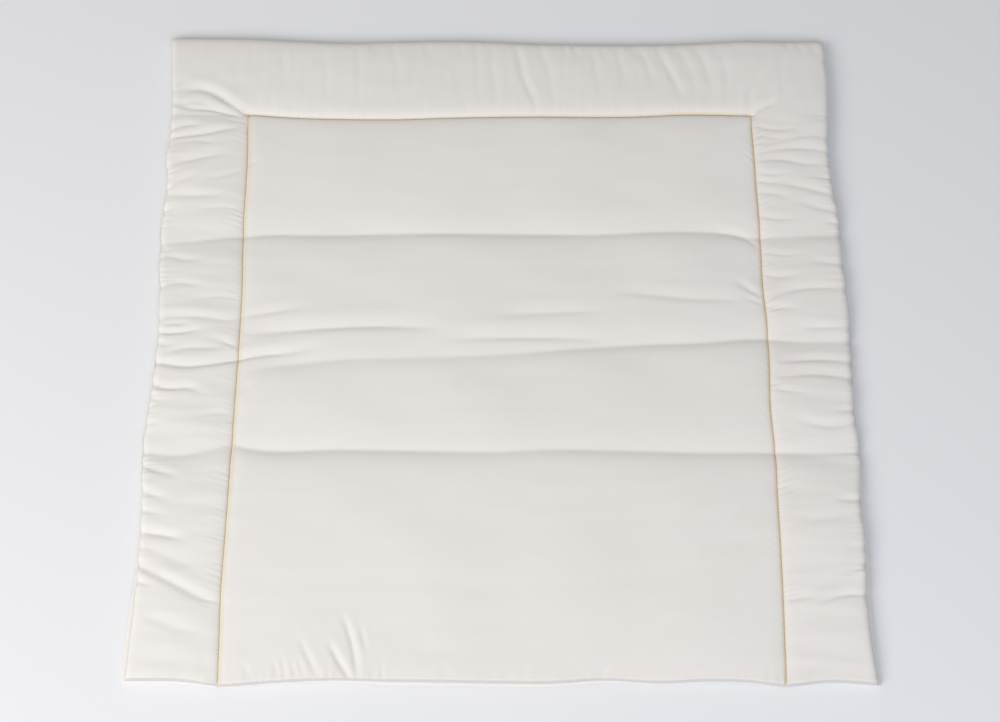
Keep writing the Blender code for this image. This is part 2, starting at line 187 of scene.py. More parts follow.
LEFT_CREASES = (
    Crease(2.2, 5, ((-392, 300), (-372, 292), (-348, 290), (-322, 284), (-306, 280))),
    Crease(1.0, 4, ((-388, 243), (-362, 247), (-338, 244))),
    Crease(1.4, 5, ((-396, 203), (-381, 207), (-366, 214))),
    Crease(1.8, 5, ((-397, 184), (-386, 188), (-372, 197), (-356, 203))),
    Crease(0.9, 4, ((-345, 196), (-325, 201), (-306, 209))),
    Crease(0.8, 4, ((-350, 158), (-325, 161), (-305, 160))),
    Crease(1.0, 4, ((-397, 110), (-388, 106), (-378, 108))),
    Crease(1.6, 5, ((-392, 61), (-368, 64), (-344, 60))),
    Crease(1.0, 4, ((-350, 43), (-322, 47), (-300, 44))),
    Crease(1.5, 4, ((-384, 11), (-362, 13), (-352, 10))),
    Crease(1.2, 4, ((-391, -8), (-378, -13), (-366, -10))),
    Crease(1.2, 5, ((-396, -72), (-384, -78), (-376, -76))),
    Crease(0.8, 4, ((-340, -98), (-318, -94), (-302, -95))),
    Crease(3.6, 6, ((-304, 285), (-312, 290), (-325, 299), (-346, 313), (-362, 318), (-380, 316))),
    Crease(1.4, 5, ((-385, 298), (-363, 300), (-343, 295))),
    Crease(1.2, 9, ((-392, 283), (-352, 283), (-312, 284))),
    Crease(1.6, 5, ((-394, 262), (-371, 269), (-360, 268))),
    Crease(2.6, 5, ((-397, 250), (-376, 254), (-352, 257), (-332, 262), (-315, 265))),
    Crease(1.0, 4, ((-328, 276), (-303, 273))),
    Crease(2.0, 6, ((-397, 210), (-379, 218), (-362, 223), (-327, 230))),
    Crease(1.1, 4, ((-397, 196), (-367, 205))),
    Crease(1.5, 7, ((-397, 177), (-353, 176), (-324, 177))),
    Crease(1.0, 4, ((-398, 155), (-383, 160))),
    Crease(1.3, 5, ((-398, 98), (-380, 98), (-365, 94), (-346, 94))),
    Crease(1.5, 5, ((-390, 20), (-343, 22), (-311, 18), (-297, 20))),
    Crease(2.6, 4, ((-394, 4), (-376, 2), (-342, 6))),
    Crease(1.6, 5, ((-383, -26), (-363, -18), (-320, -16))),
    Crease(1.2, 4, ((-328, -5), (-316, -8), (-297, -15))),
    Crease(2.6, 5, ((-397, -58), (-371, -65), (-349, -64), (-335, -71))),
    Crease(1.0, 4, ((-397, -88), (-375, -81))),
    Crease(1.0, 4, ((-397, -106), (-380, -105))),
    Crease(2.0, 5, ((-397, -154), (-373, -163), (-359, -167))),
    Crease(1.5, 5, ((-397, -183), (-365, -195))),
    Crease(1.3, 5, ((-396, -205), (-369, -212))),
    Crease(2.4, 5, ((-396, -230), (-364, -235), (-346, -239))),
    Crease(0.9, 7, ((-388, -246), (-351, -262), (-329, -271))),
    Crease(2.9, 6, ((-396, -266), (-366, -280), (-333, -297), (-322, -303), (-303, -307))),
    Crease(1.2, 4, ((-395, -283), (-374, -291))),
    Crease(1.5, 7, ((-381, -321), (-346, -336), (-317, -341))),
    Crease(0.5, 9, ((-323, -347), (-314, -370), (-306, -393))),
)
RIGHT_CREASES = (
    Crease(1.0, 4, ((303, 268), (330, 262), (352, 264))),
    Crease(1.1, 5, ((305, 255), (338, 250), (372, 254), (392, 251))),
    Crease(0.9, 4, ((303, 243), (324, 245), (341, 249))),
    Crease(1.2, 4, ((304, 206), (322, 203), (343, 206))),
    Crease(1.0, 4, ((303, 196), (318, 193), (330, 194))),
    Crease(1.3, 4, ((374, 200), (388, 197), (397, 199))),
    Crease(1.2, 4, ((377, 189), (397, 186))),
    Crease(1.0, 4, ((304, 180), (324, 178), (340, 172))),
    Crease(1.5, 4, ((382, 143), (398, 140))),
    Crease(1.2, 4, ((304, 150), (325, 146), (344, 147))),
    Crease(1.1, 4, ((305, 104), (330, 100), (350, 103))),
    Crease(1.0, 4, ((360, 92), (398, 88))),
    Crease(0.9, 4, ((304, 76), (322, 72), (336, 74))),
    Crease(2.4, 5, ((304, 286), (316, 293), (330, 301))),
    Crease(1.4, 5, ((298, 298), (300, 309), (311, 331), (315, 338))),
    Crease(0.8, 7, ((320, 272), (361, 272))),
    Crease(1.6, 5, ((303, 232), (351, 238), (392, 233))),
    Crease(1.6, 5, ((303, 221), (332, 223), (356, 218), (392, 219))),
    Crease(1.7, 6, ((328, 193), (365, 184), (397, 175))),
    Crease(1.5, 6, ((355, 165), (397, 154))),
    Crease(2.0, 6, ((306, 43), (316, 49), (345, 57), (398, 58))),
    Crease(1.0, 4, ((305, 33), (340, 34))),
    Crease(1.6, 5, ((346, 9), (398, 11))),
    Crease(2.0, 5, ((320, -33), (356, -30), (399, -32))),
    Crease(1.6, 6, ((308, -52), (361, -48), (398, -53))),
    Crease(0.9, 4, ((302, -60), (315, -59))),
    Crease(1.1, 4, ((307, -66), (344, -71))),
    Crease(1.3, 4, ((378, -92), (398, -90))),
    Crease(1.6, 6, ((333, -103), (368, -110), (398, -104))),
    Crease(1.8, 5, ((370, -195), (399, -195))),
    Crease(0.8, 7, ((330, -220), (393, -210))),
    Crease(1.0, 4, ((376, -248), (394, -247))),
    Crease(1.5, 5, ((370, -279), (396, -266))),
    Crease(2.0, 5, ((338, -311), (370, -300), (392, -300))),
    Crease(1.2, 5, ((309, -306), (335, -301))),
    Crease(0.9, 7, ((304, -378), (351, -376))),
)
HEAD_CREASES = (
    Crease(0.6, 5, ((-268, 380), (-262, 350), (-261, 322))),
    Crease(0.5, 5, ((-214, 372), (-210, 340), (-211, 306))),
    Crease(0.6, 5, ((-176, 378), (-171, 345), (-172, 300))),
    Crease(0.6, 5, ((-132, 382), (-126, 350), (-126, 318))),
    Crease(0.7, 5, ((-30, 384), (-28, 350), (-29, 310))),
    Crease(0.6, 4, ((48, 384), (52, 360), (58, 338))),
    Crease(0.8, 5, ((138, 380), (146, 350), (149, 322))),
    Crease(0.6, 5, ((212, 378), (226, 350), (232, 322))),
    Crease(0.5, 5, ((262, 380), (270, 350), (273, 312))),
    Crease(0.8, 4, ((-156, 383), (-155, 371))),
    Crease(0.9, 5, ((-93, 386), (-85, 360))),
    Crease(0.7, 4, ((-48, 382), (-47, 365))),
    Crease(0.7, 8, ((-51, 338), (-46, 296))),
    Crease(0.9, 5, ((-10, 387), (-11, 364), (-7, 323), (-7, 293))),
    Crease(1.7, 5, ((14, 386), (22, 364), (27, 336), (31, 323), (40, 302), (42, 286))),
    Crease(0.8, 6, ((57, 368), (59, 329), (65, 300))),
    Crease(0.6, 4, ((76, 383), (82, 360))),
    Crease(0.7, 4, ((86, 383), (94, 362))),
    Crease(0.9, 6, ((109, 381), (117, 327))),
    Crease(0.6, 4, ((121, 380), (127, 360))),
    Crease(0.7, 5, ((153, 383), (170, 358))),
    Crease(1.1, 5, ((164, 381), (176, 357), (181, 327))),
    Crease(0.8, 5, ((176, 378), (194, 348))),
    Crease(1.7, 5, ((188, 380), (199, 353), (208, 332), (216, 309))),
    Crease(1.1, 6, ((231, 381), (243, 362), (249, 343), (252, 316))),
    Crease(0.6, 4, ((278, 386), (284, 374))),
    Crease(1.0, 5, ((345, 386), (353, 371))),
    Crease(0.8, 4, ((359, 383), (366, 369))),
    Crease(1.1, 5, ((377, 380), (387, 360))),
    Crease(1.0, 5, ((-394, 314), (-388, 325), (-379, 335))),
)
FOOT_CREASES = (
    Crease(2.6, 4, ((-157, -392), (-168, -376), (-182, -352))),
    Crease(2.4, 4, ((-151, -392), (-154, -368), (-159, -347), (-168, -323))),
    Crease(1.0, 3.2, ((-143, -359), (-149, -334))),
    Crease(1.1, 3.2, ((-136, -393), (-129, -379))),
    Crease(1.1, 3.2, ((-125, -390), (-125, -374))),
    Crease(1.0, 3.2, ((-233, -389), (-241, -370))),
    Crease(1.1, 3.2, ((-226, -389), (-233, -366))),
    Crease(1.0, 3.2, ((-214, -389), (-222, -371))),
    Crease(1.1, 3.2, ((-207, -388), (-214, -368))),
    Crease(1.5, 4, ((-193, -388), (-212, -350))),
    Crease(1.0, 3.2, ((-271, -374), (-266, -389))),
    Crease(1.0, 3.2, ((-56, -389), (-60, -374))),
    Crease(1.2, 3.2, ((22, -393), (29, -377))),
    Crease(2.2, 3.2, ((103, -393), (108, -387), (115, -378))),
    Crease(0.9, 3.2, ((203, -390), (209, -383))),
)
CREASES = CENTRE_CREASES + LEFT_CREASES + RIGHT_CREASES + HEAD_CREASES + FOOT_CREASES


def linear(code: str) -> tuple[float, float, float]:
    """Linear colour of an sRGB hex code.

    Args:
        code: six hex digits.

    Returns:
        Red, green and blue from 0 to 1.
    """
    parts = np.array([int(code[at:at + 2], 16) for at in (0, 2, 4)]) / 255.0
    curved = np.where(parts <= 0.04045, parts / 12.92, ((parts + 0.055) / 1.055) ** 2.4)
    return float(curved[0]), float(curved[1]), float(curved[2])


def through(stations: npt.ArrayLike, values: npt.ArrayLike, at: Array) -> Array:
    """Smooth curve through a table's values, a cubic with the table's own slopes.

    Args:
        stations: rising places of the table.
        values: value at each place.
        at: places to read.

    Returns:
        The values there.
    """
    known = np.asarray(stations, dtype=float)
    level = np.asarray(values, dtype=float)
    slopes = np.gradient(level, known)
    at = np.clip(at, known[0], known[-1])
    cell = np.clip(np.searchsorted(known, at) - 1, 0, len(known) - 2)
    length = known[cell + 1] - known[cell]
    t = (at - known[cell]) / length
    rise = level[cell + 1] - level[cell]
    start = slopes[cell] * length
    end = slopes[cell + 1] * length
    bend = (3.0 * rise - 2.0 * start - end) * t ** 2 + (start + end - 2.0 * rise) * t ** 3
    return level[cell] + start * t + bend


def cusp(distance: Array, reach: float | Array, soft: float) -> Array:
    """Share of a pull at a distance: exp(-(sqrt(d^2 + s^2) - s) / reach), a V rounded within s.

    Args:
        distance: distance from the line in metres.
        reach: distance in which the pull falls to about a third.
        soft: radius within which the bottom is round.

    Returns:
        1 on the line, falling to 0.
    """
    return np.exp(-(np.sqrt(distance ** 2 + soft ** 2) - soft) / reach)


@dataclass(frozen=True)
class Ripples:
    """Even random ripples: the sum of n plane waves cos(k . point + phase) times sqrt(2 / n).

    The lengths are in metres, and stretch says how many times longer the ripples are along x than y.
    """

    seed: int
    shortest: float
    longest: float
    stretch: float = 1.0
    waves: int = 18

    def at(self, x: Array, y: Array) -> Array:
        """Ripples at points.

        Args:
            x: places across the mat.
            y: places along the mat.

        Returns:
            Heights whose usual size is 1.
        """
        rng = np.random.default_rng(self.seed)
        total = np.zeros_like(x)
        for _ in range(self.waves):
            number = 2.0 * math.pi / rng.uniform(self.shortest, self.longest)
            turn, phase = rng.uniform(0.0, 2.0 * math.pi, 2)
            total += np.cos(number * (x * math.cos(turn) / self.stretch + y * math.sin(turn)) + phase)
        return total * math.sqrt(2.0 / self.waves)


class Nearest(NamedTuple):
    """Where points stand to a path: their distance, on its far side or not, and share along it."""

    distance: Array
    far: npt.NDArray[np.bool_]
    along: Array


def nearest_on(path: Array, x: Array, y: Array) -> Nearest:
    """Nearest place on a path for each point: the least distance to its straight runs.

    Args:
        path: points of the path, one row each.
        x: places across the mat.
        y: places along the mat.

    Returns:
        Distance, side and share along for each point.
    """
    runs = np.diff(path, axis=0)
    squares = (runs ** 2).sum(axis=1)
    dx = x[:, None] - path[:-1, 0]
    dy = y[:, None] - path[:-1, 1]
    t = np.clip((dx * runs[:, 0] + dy * runs[:, 1]) / squares, 0.0, 1.0)
    away = np.hypot(dx - t * runs[:, 0], dy - t * runs[:, 1])
    pick = np.argmin(away, axis=1)
    row = np.arange(len(x))
    side = runs[pick, 0] * dy[row, pick] - runs[pick, 1] * dx[row, pick]
    far = side * np.sign(path[-1, 0] - path[0, 0]) > 0.0
    return Nearest(away[row, pick], far, (pick + t[row, pick]) / len(runs))


def smooth_path(knots: Array, steps: int) -> Array:
    """Points on a smooth curve through knots, each column a cubic over the length so far.

    Args:
        knots: points, one row each, of which the first two columns are x and y.
        steps: number of runs.

    Returns:
        The curve's points with the same columns.
    """
    lengths = np.hypot(*np.diff(knots[:, :2], axis=0).T)
    so_far = np.concatenate(([0.0], np.cumsum(lengths)))
    at = np.linspace(0.0, so_far[-1], steps + 1)
    return np.stack([through(so_far, column, at) for column in knots.T], axis=1)


@dataclass(frozen=True)
class Outline:
    """Plain rectangle of the mat and how its seams and sewn line are drawn in."""

    width: float = 0.800
    depth: float = 0.790
    side_border: float = 0.098
    head_border: float = 0.110
    foot_reach: float = 0.110
    middle: tuple[float, float] = (0.0015, 0.0008)
    notch_depth: float = 0.0015
    notch_length: float = 0.006
    notch_zone: float = 0.385
    notch_limit: float = 1.5
    head_lift: float = 0.0028
    side_lift: float = 0.0028
    foot_lift: float = 0.0022
    corner_lie: float = 0.070
    lift_reach: float = 0.020
    lift_power: float = 2.5
    roll_unit: float = 0.004
    turned: float = 0.0006

    @property
    def half_width(self) -> float:
        """Half the width between the side seams."""
        return self.width / 2.0

    @property
    def half_depth(self) -> float:
        """Half the depth between the end seams."""
        return self.depth / 2.0

    @property
    def sewn_x(self) -> float:
        """Distance of the sewn side lines from the middle."""
        return self.half_width - self.side_border

    @property
    def sewn_y(self) -> float:
        """Distance of the sewn head line from the middle."""
        return self.half_depth - self.head_border

    def side(self, column: str, q: Array) -> Array:
        """One column of the side table along the depth, in metres."""
        return through([row.y * MM for row in SIDE_ROWS], [getattr(row, column) * MM for row in SIDE_ROWS], q)

    def end(self, column: str, p: Array) -> Array:
        """One column of the end table across the width, in metres."""
        return through([row.x * MM for row in END_ROWS], [getattr(row, column) * MM for row in END_ROWS], p)

    def notches(self, q: Array, hand: int) -> Array:
        """Draw of a side seam where creases and grooves meet it: a small bell at each.

        Args:
            q: places along the depth.
            hand: -1 for the left side, 1 for the right.

        Returns:
            Distance that the seam is drawn in.
        """
        total = np.zeros_like(q)
        for fold in CREASES + GROOVES:
            for tip in (fold.path[0], fold.path[-1]):
                if hand * tip[0] * MM > self.notch_zone:
                    total += self.notch_depth * np.exp(-((q - tip[1] * MM) / self.notch_length) ** 2)
        return np.minimum(total, self.notch_limit * self.notch_depth)

    def settle(self, p: Array, q: Array) -> tuple[Array, Array]:
        """Real place of points of the plain rectangle, each border blended from sewn line to seam.

        Args:
            p: places across the plain rectangle.
            q: places along it.

        Returns:
            x and y.
        """
        x = p.copy()
        across = np.clip(0.5 + 0.5 * p / self.sewn_x, 0.0, 1.0)
        for hand, name, share in ((-1, "left", 1.0 - across), (1, "right", across)):
            into = np.clip((hand * p - self.sewn_x) / self.side_border, 0.0, 1.0)
            sewn = self.side(name + "_sewn", q)
            seam = self.side(name + "_seam", q) + self.notches(q, hand)
            x -= hand * (sewn + (seam - sewn) * into) * share
        into = np.clip((q - self.sewn_y) / self.head_border, 0.0, 1.0)
        head = self.end("head_sewn", p) * (1.0 - into) + self.end("head_seam", p) * into
        foot = self.end("foot_seam", p) * np.clip(1.0 - (self.half_depth + q) / self.foot_reach, 0.0, 1.0)
        return x, q - head * np.clip(q / self.sewn_y, 0.0, 1.0) + foot

    def insets(self, p: Array, q: Array) -> tuple[Array, Array]:
        """Distances in from the side seams and from the end seams."""
        return np.maximum(self.half_width - np.abs(p), 0.0), np.maximum(self.half_depth - np.abs(q), 0.0)

    def lift(self, p: Array, q: Array) -> Array:
        """Height of the back cloth's underside: raised at the seam midway, down at the corners.

        Args:
            p: places across the plain rectangle.
            q: places along it.

        Returns:
            Height, falling with a power of the distance in from the seam.
        """
        side, end = self.insets(p, q)
        near_end = np.where(q > 0.0, self.head_lift, self.foot_lift)
        height = np.where(side < end, self.side_lift, near_end)
        height = height * (1.0 - np.exp(-(np.maximum(side, end) / self.corner_lie) ** 2))
        return height * np.clip(1.0 - np.minimum(side, end) / self.lift_reach, 0.0, 1.0) ** self.lift_power

    def to_sewn(self, p: Array, q: Array) -> tuple[Array, Array]:
        """Signed distances to the sewn line: to its side runs and its head run, positive in the border.

        Args:
            p: places across the plain rectangle.
            q: places along it.

        Returns:
            Distance to the nearest side run and to the head run.
        """
        past_side = np.abs(p) - self.sewn_x
        past_head = q - self.sewn_y
        side = np.hypot(past_side, np.maximum(past_head, 0.0))
        head = np.hypot(past_head, np.maximum(past_side, 0.0))
        return np.copysign(side, past_side), np.copysign(head, past_head)

    def centred(self, x: Array, y: Array, z: Array) -> Array:
        """Points with the middle of the outline over the origin."""
        return np.stack([x - self.middle[0], y - self.middle[1], z], axis=-1)


@dataclass(frozen=True)
class Grid:
    """Grid of points over part of the plain rectangle, numbered from a first one."""

    columns: Array
    rows: Array
    first: int

    @property
    def index(self) -> Numbers:
        """Point numbers, one row of the array for each row of the grid."""
        return self.first + np.arange(self.size).reshape(len(self.rows), len(self.columns))

    @property
    def size(self) -> int:
        """Number of points."""
        return len(self.rows) * len(self.columns)

    def points(self) -> tuple[Array, Array]:
        """Places p and q of all points, row by row."""
        p, q = np.meshgrid(self.columns, self.rows)
        return p.ravel(), q.ravel()

    def quads(self) -> Numbers:
        """Faces that look up, from each point and its next in the row and in the column."""
        at = self.index
        return np.stack([at[:-1, :-1], at[:-1, 1:], at[1:, 1:], at[1:, :-1]], axis=-1).reshape(-1, 4)


def zipped(low: Numbers, low_at: Array, high: Numbers, high_at: Array) -> Numbers:
    """Triangles between two lines of points: each segment joins the other line's point beside its middle.

    Args:
        low: point numbers of the lower or left-hand line, in its direction.
        low_at: rising places along it.
        high: point numbers of the line across from it.
        high_at: rising places along that.

    Returns:
        Triangles that look towards a viewer who has the first line below, running right.
    """
    low_mid = (low_at[:-1] + low_at[1:]) / 2.0
    high_mid = (high_at[:-1] + high_at[1:]) / 2.0
    over = high[np.searchsorted(high_mid, low_mid, side="right")]
    under = low[np.searchsorted(low_mid, high_mid, side="left")]
    first = np.stack([low[:-1], low[1:], over], axis=1)
    second = np.stack([under, high[1:], high[:-1]], axis=1)
    return np.concatenate([first, second])


@dataclass
class Layer:
    """One layer of cloth over the whole rectangle: its points, faces and border, anticlockwise."""

    p: Array
    q: Array
    quads: Numbers
    triangles: Numbers
    border: Numbers
    border_at: Array = field(init=False)

    def __post_init__(self) -> None:
        """Measure the places of the border's points along it."""
        p, q = self.p[self.border], self.q[self.border]
        steps = np.abs(np.diff(p)) + np.abs(np.diff(q))
        self.border_at = np.concatenate(([0.0], np.cumsum(steps)))


def spaced(start: float, stretches: tuple[tuple[float, float], ...]) -> Array:
    """Rising grid lines in metres: runs up to each place with its pitch, both in millimetres.

    Args:
        start: first line in millimetres.
        stretches: place that each run ends at, and its pitch.

    Returns:
        Places of the lines.
    """
    places = [np.array([start])]
    for to, pitch in stretches:
        here = places[-1][-1]
        count = max(1, round((to - here) / pitch))
        places.append(np.linspace(here, to, count + 1)[1:])
    return np.concatenate(places) * MM


@dataclass(frozen=True)
class Cutting:
    """Grid lines of the top and the under layers, in millimetres: fine at seams, sewn lines and folds."""

    outline: Outline
    rim: tuple[float, ...] = (0.8, 2.0, 3.6, 5.6, 8.2, 11.5, 15.5)
    sewn_zone: tuple[float, float] = (286.0, 318.0)
    head_zone: tuple[float, float] = (266.0, 302.0)
    foot_zone: float = -316.0
    side_pitch: float = 6.0
    side_row: float = 1.5
    sewn_pitch: float = 1.7
    sewn_row: float = 1.15
    middle_pitch: float = 8.6
    middle_rows: tuple[tuple[float, float], ...] = (
        (-150, 3.0), (-122, 1.5), (-52, 3.0), (72, 1.8), (118, 3.0), (142, 1.5))
    head_pitch: float = 3.0
    gather_pitch: float = 1.8
    under_pitch: float = 20.0
    strip_gap: float = 2.4
    roll_shares: tuple[float, ...] = (0.35, 0.65, 0.85, 1.0)

    def around(self, line: float, pitch: float) -> tuple[tuple[float, float], ...]:
        """Stretches that close in on a sewn line, to 0.4 mm where it pulls the cloth down.

        Args:
            line: place of the sewn line in millimetres.
            pitch: pitch up to 4 mm before it.

        Returns:
            The stretches, up to 4 mm past the line.
        """
        return (line - 4.0, pitch), (line - 2.0, 0.7), (line + 2.0, 0.4), (line + 4.0, 0.7)

    def rim_stretches(self, half: float, far: bool) -> tuple[tuple[float, float], ...]:
        """Runs of single lines beside a seam; on the + side they follow a run that ends at the innermost.

        Args:
            half: half of the rectangle's side in millimetres.
            far: for the lines that end at the seam on the + side.

        Returns:
            Stretches whose pitch is their whole length.
        """
        if far:
            places = [half - inset for inset in reversed(self.rim[:-1])] + [half]
        else:
            places = [inset - half for inset in self.rim]
        return tuple((place, SINGLE) for place in places)

    def full_columns(self, runs: tuple[tuple[float, float], ...]) -> Array:
        """Columns from side seam to side seam with the rim's lines at both."""
        half = self.outline.half_width / MM
        return spaced(-half, self.rim_stretches(half, False) + runs + self.rim_stretches(half, True))

    def top(self) -> Layer:
        """Top layer: a foot band, five strips side by side, a gathered band and a head band, zipped.

        Returns:
            The layer.
        """
        wide, deep = self.outline.half_width / MM, self.outline.half_depth / MM
        near, away = self.sewn_zone
        bottom, top = self.foot_zone, self.head_zone[0]
        rim_in = self.rim[-1]
        last = wide - rim_in
        side = spaced(-wide, self.rim_stretches(wide, False) + ((-away - self.strip_gap, self.side_pitch),))
        line = self.outline.sewn_x / MM
        at_left, at_right = self.around(-line, self.sewn_pitch), self.around(line, self.sewn_pitch)
        sewn = spaced(-away, at_left + ((-near, self.sewn_pitch),))
        middle = spaced(-near + self.strip_gap,
                        ((-250, 4.2), (250, self.middle_pitch), (near - self.strip_gap, 4.2)))
        rough = spaced(bottom, ((top, self.side_row),))
        fine = spaced(bottom, ((top, self.sewn_row),))
        panels = spaced(bottom, self.middle_rows + ((top, 3.0),))
        foot_rows = spaced(-deep, self.rim_stretches(deep, False) + ((bottom - 2.0, 3.0),))
        foot_columns = self.full_columns((
            (-away, self.side_pitch), *at_left, (-262, 2.6), (-115, 2.2), (250, 4.4), (near, 2.6), *at_right,
            (last, self.side_pitch)))
        at_head = self.around(self.outline.sewn_y / MM, self.gather_pitch)
        gather_rows = spaced(top + 1.5, at_head + ((self.head_zone[1], self.gather_pitch),))
        gather_columns = self.full_columns(((-away, 4.0), (away, self.gather_pitch), (last, 4.0)))
        head_rows = spaced(self.head_zone[1] + 2.0, ((deep - rim_in, 3.2),) + self.rim_stretches(deep, True))
        head_columns = self.full_columns(((last, self.head_pitch),))
        first = 0
        grids = []
        for columns, rows in ((foot_columns, foot_rows), (side, rough), (sewn, fine), (middle, panels),
                              (-sewn[::-1], fine), (-side[::-1], rough), (gather_columns, gather_rows),
                              (head_columns, head_rows)):
            grids.append(Grid(columns, rows, first))
            first += grids[-1].size
        foot, strips, gathered, head = grids[0], grids[1:6], grids[6], grids[7]
        triangles = []
        for left, right in zip(strips[:-1], strips[1:]):
            triangles.append(zipped(right.index[:, 0], right.rows, left.index[:, -1], left.rows))
        body_low = np.concatenate([grid.index[0] for grid in strips])
        body_high = np.concatenate([grid.index[-1] for grid in strips])
        body_at = np.concatenate([grid.columns for grid in strips])
        triangles.append(zipped(foot.index[-1], foot.columns, body_low, body_at))
        triangles.append(zipped(body_high, body_at, gathered.index[0], gathered.columns))
        triangles.append(zipped(gathered.index[-1], gathered.columns, head.index[0], head.columns))
        right_side = np.concatenate([grid.index[:, -1] for grid in (foot, strips[-1], gathered, head)])
        left_side = np.concatenate([grid.index[:, 0] for grid in (foot, strips[0], gathered, head)])
        border = np.concatenate([foot.index[0], right_side[1:], head.index[-1, -2::-1], left_side[-2::-1]])
        p, q = (np.concatenate(parts) for parts in zip(*(grid.points() for grid in grids)))
        quads = np.concatenate([grid.quads() for grid in grids])
        return Layer(p, q, quads, np.concatenate(triangles), border)

    def under(self, outset: bool) -> Layer:
        """Layer of the underside, a single grid that is fine at the seams and the sewn line.

        Args:
            outset: with lines past the seam, for the back cloth that rolls out past the pad.

        Returns:
            The layer.
        """
        half_x, half_y = self.outline.half_width / MM, self.outline.half_depth / MM
        unit = self.outline.roll_unit / MM
        sides = ((-312, self.under_pitch), (-292, 2.5), (292, self.under_pitch), (312, 2.5),
                 (half_x - self.rim[-1], self.under_pitch))
        ends = ((273, self.under_pitch), (297, 2.5), (half_y - self.rim[-1], self.under_pitch))
        past = tuple(unit * share for share in self.roll_shares) if outset else ()
        lines = []
        for half, runs in ((half_x, sides), (half_y, ends)):
            before = tuple((-half - at, SINGLE) for at in reversed(past[:-1]))
            if past:
                before += ((-half, SINGLE),)
            after = tuple((half + at, SINGLE) for at in past)
            start = -half - (past[-1] if past else 0.0)
            lines.append(spaced(start, before + self.rim_stretches(half, False) + runs
                                + self.rim_stretches(half, True) + after))
        grid = Grid(lines[0], lines[1], 0)
        at = grid.index
        border = np.concatenate([at[0], at[1:, -1], at[-1, -2::-1], at[-2::-1, 0]])
        p, q = grid.points()
        return Layer(p, q, grid.quads(), np.empty((0, 3), dtype=np.int64), border)


class Gathers(NamedTuple):
    """Fine gathers across a sewn line, in metres, on its border side or on the other."""

    in_border: bool
    pitch: float
    height: float
    reach: float
    slant: float
    seed: int


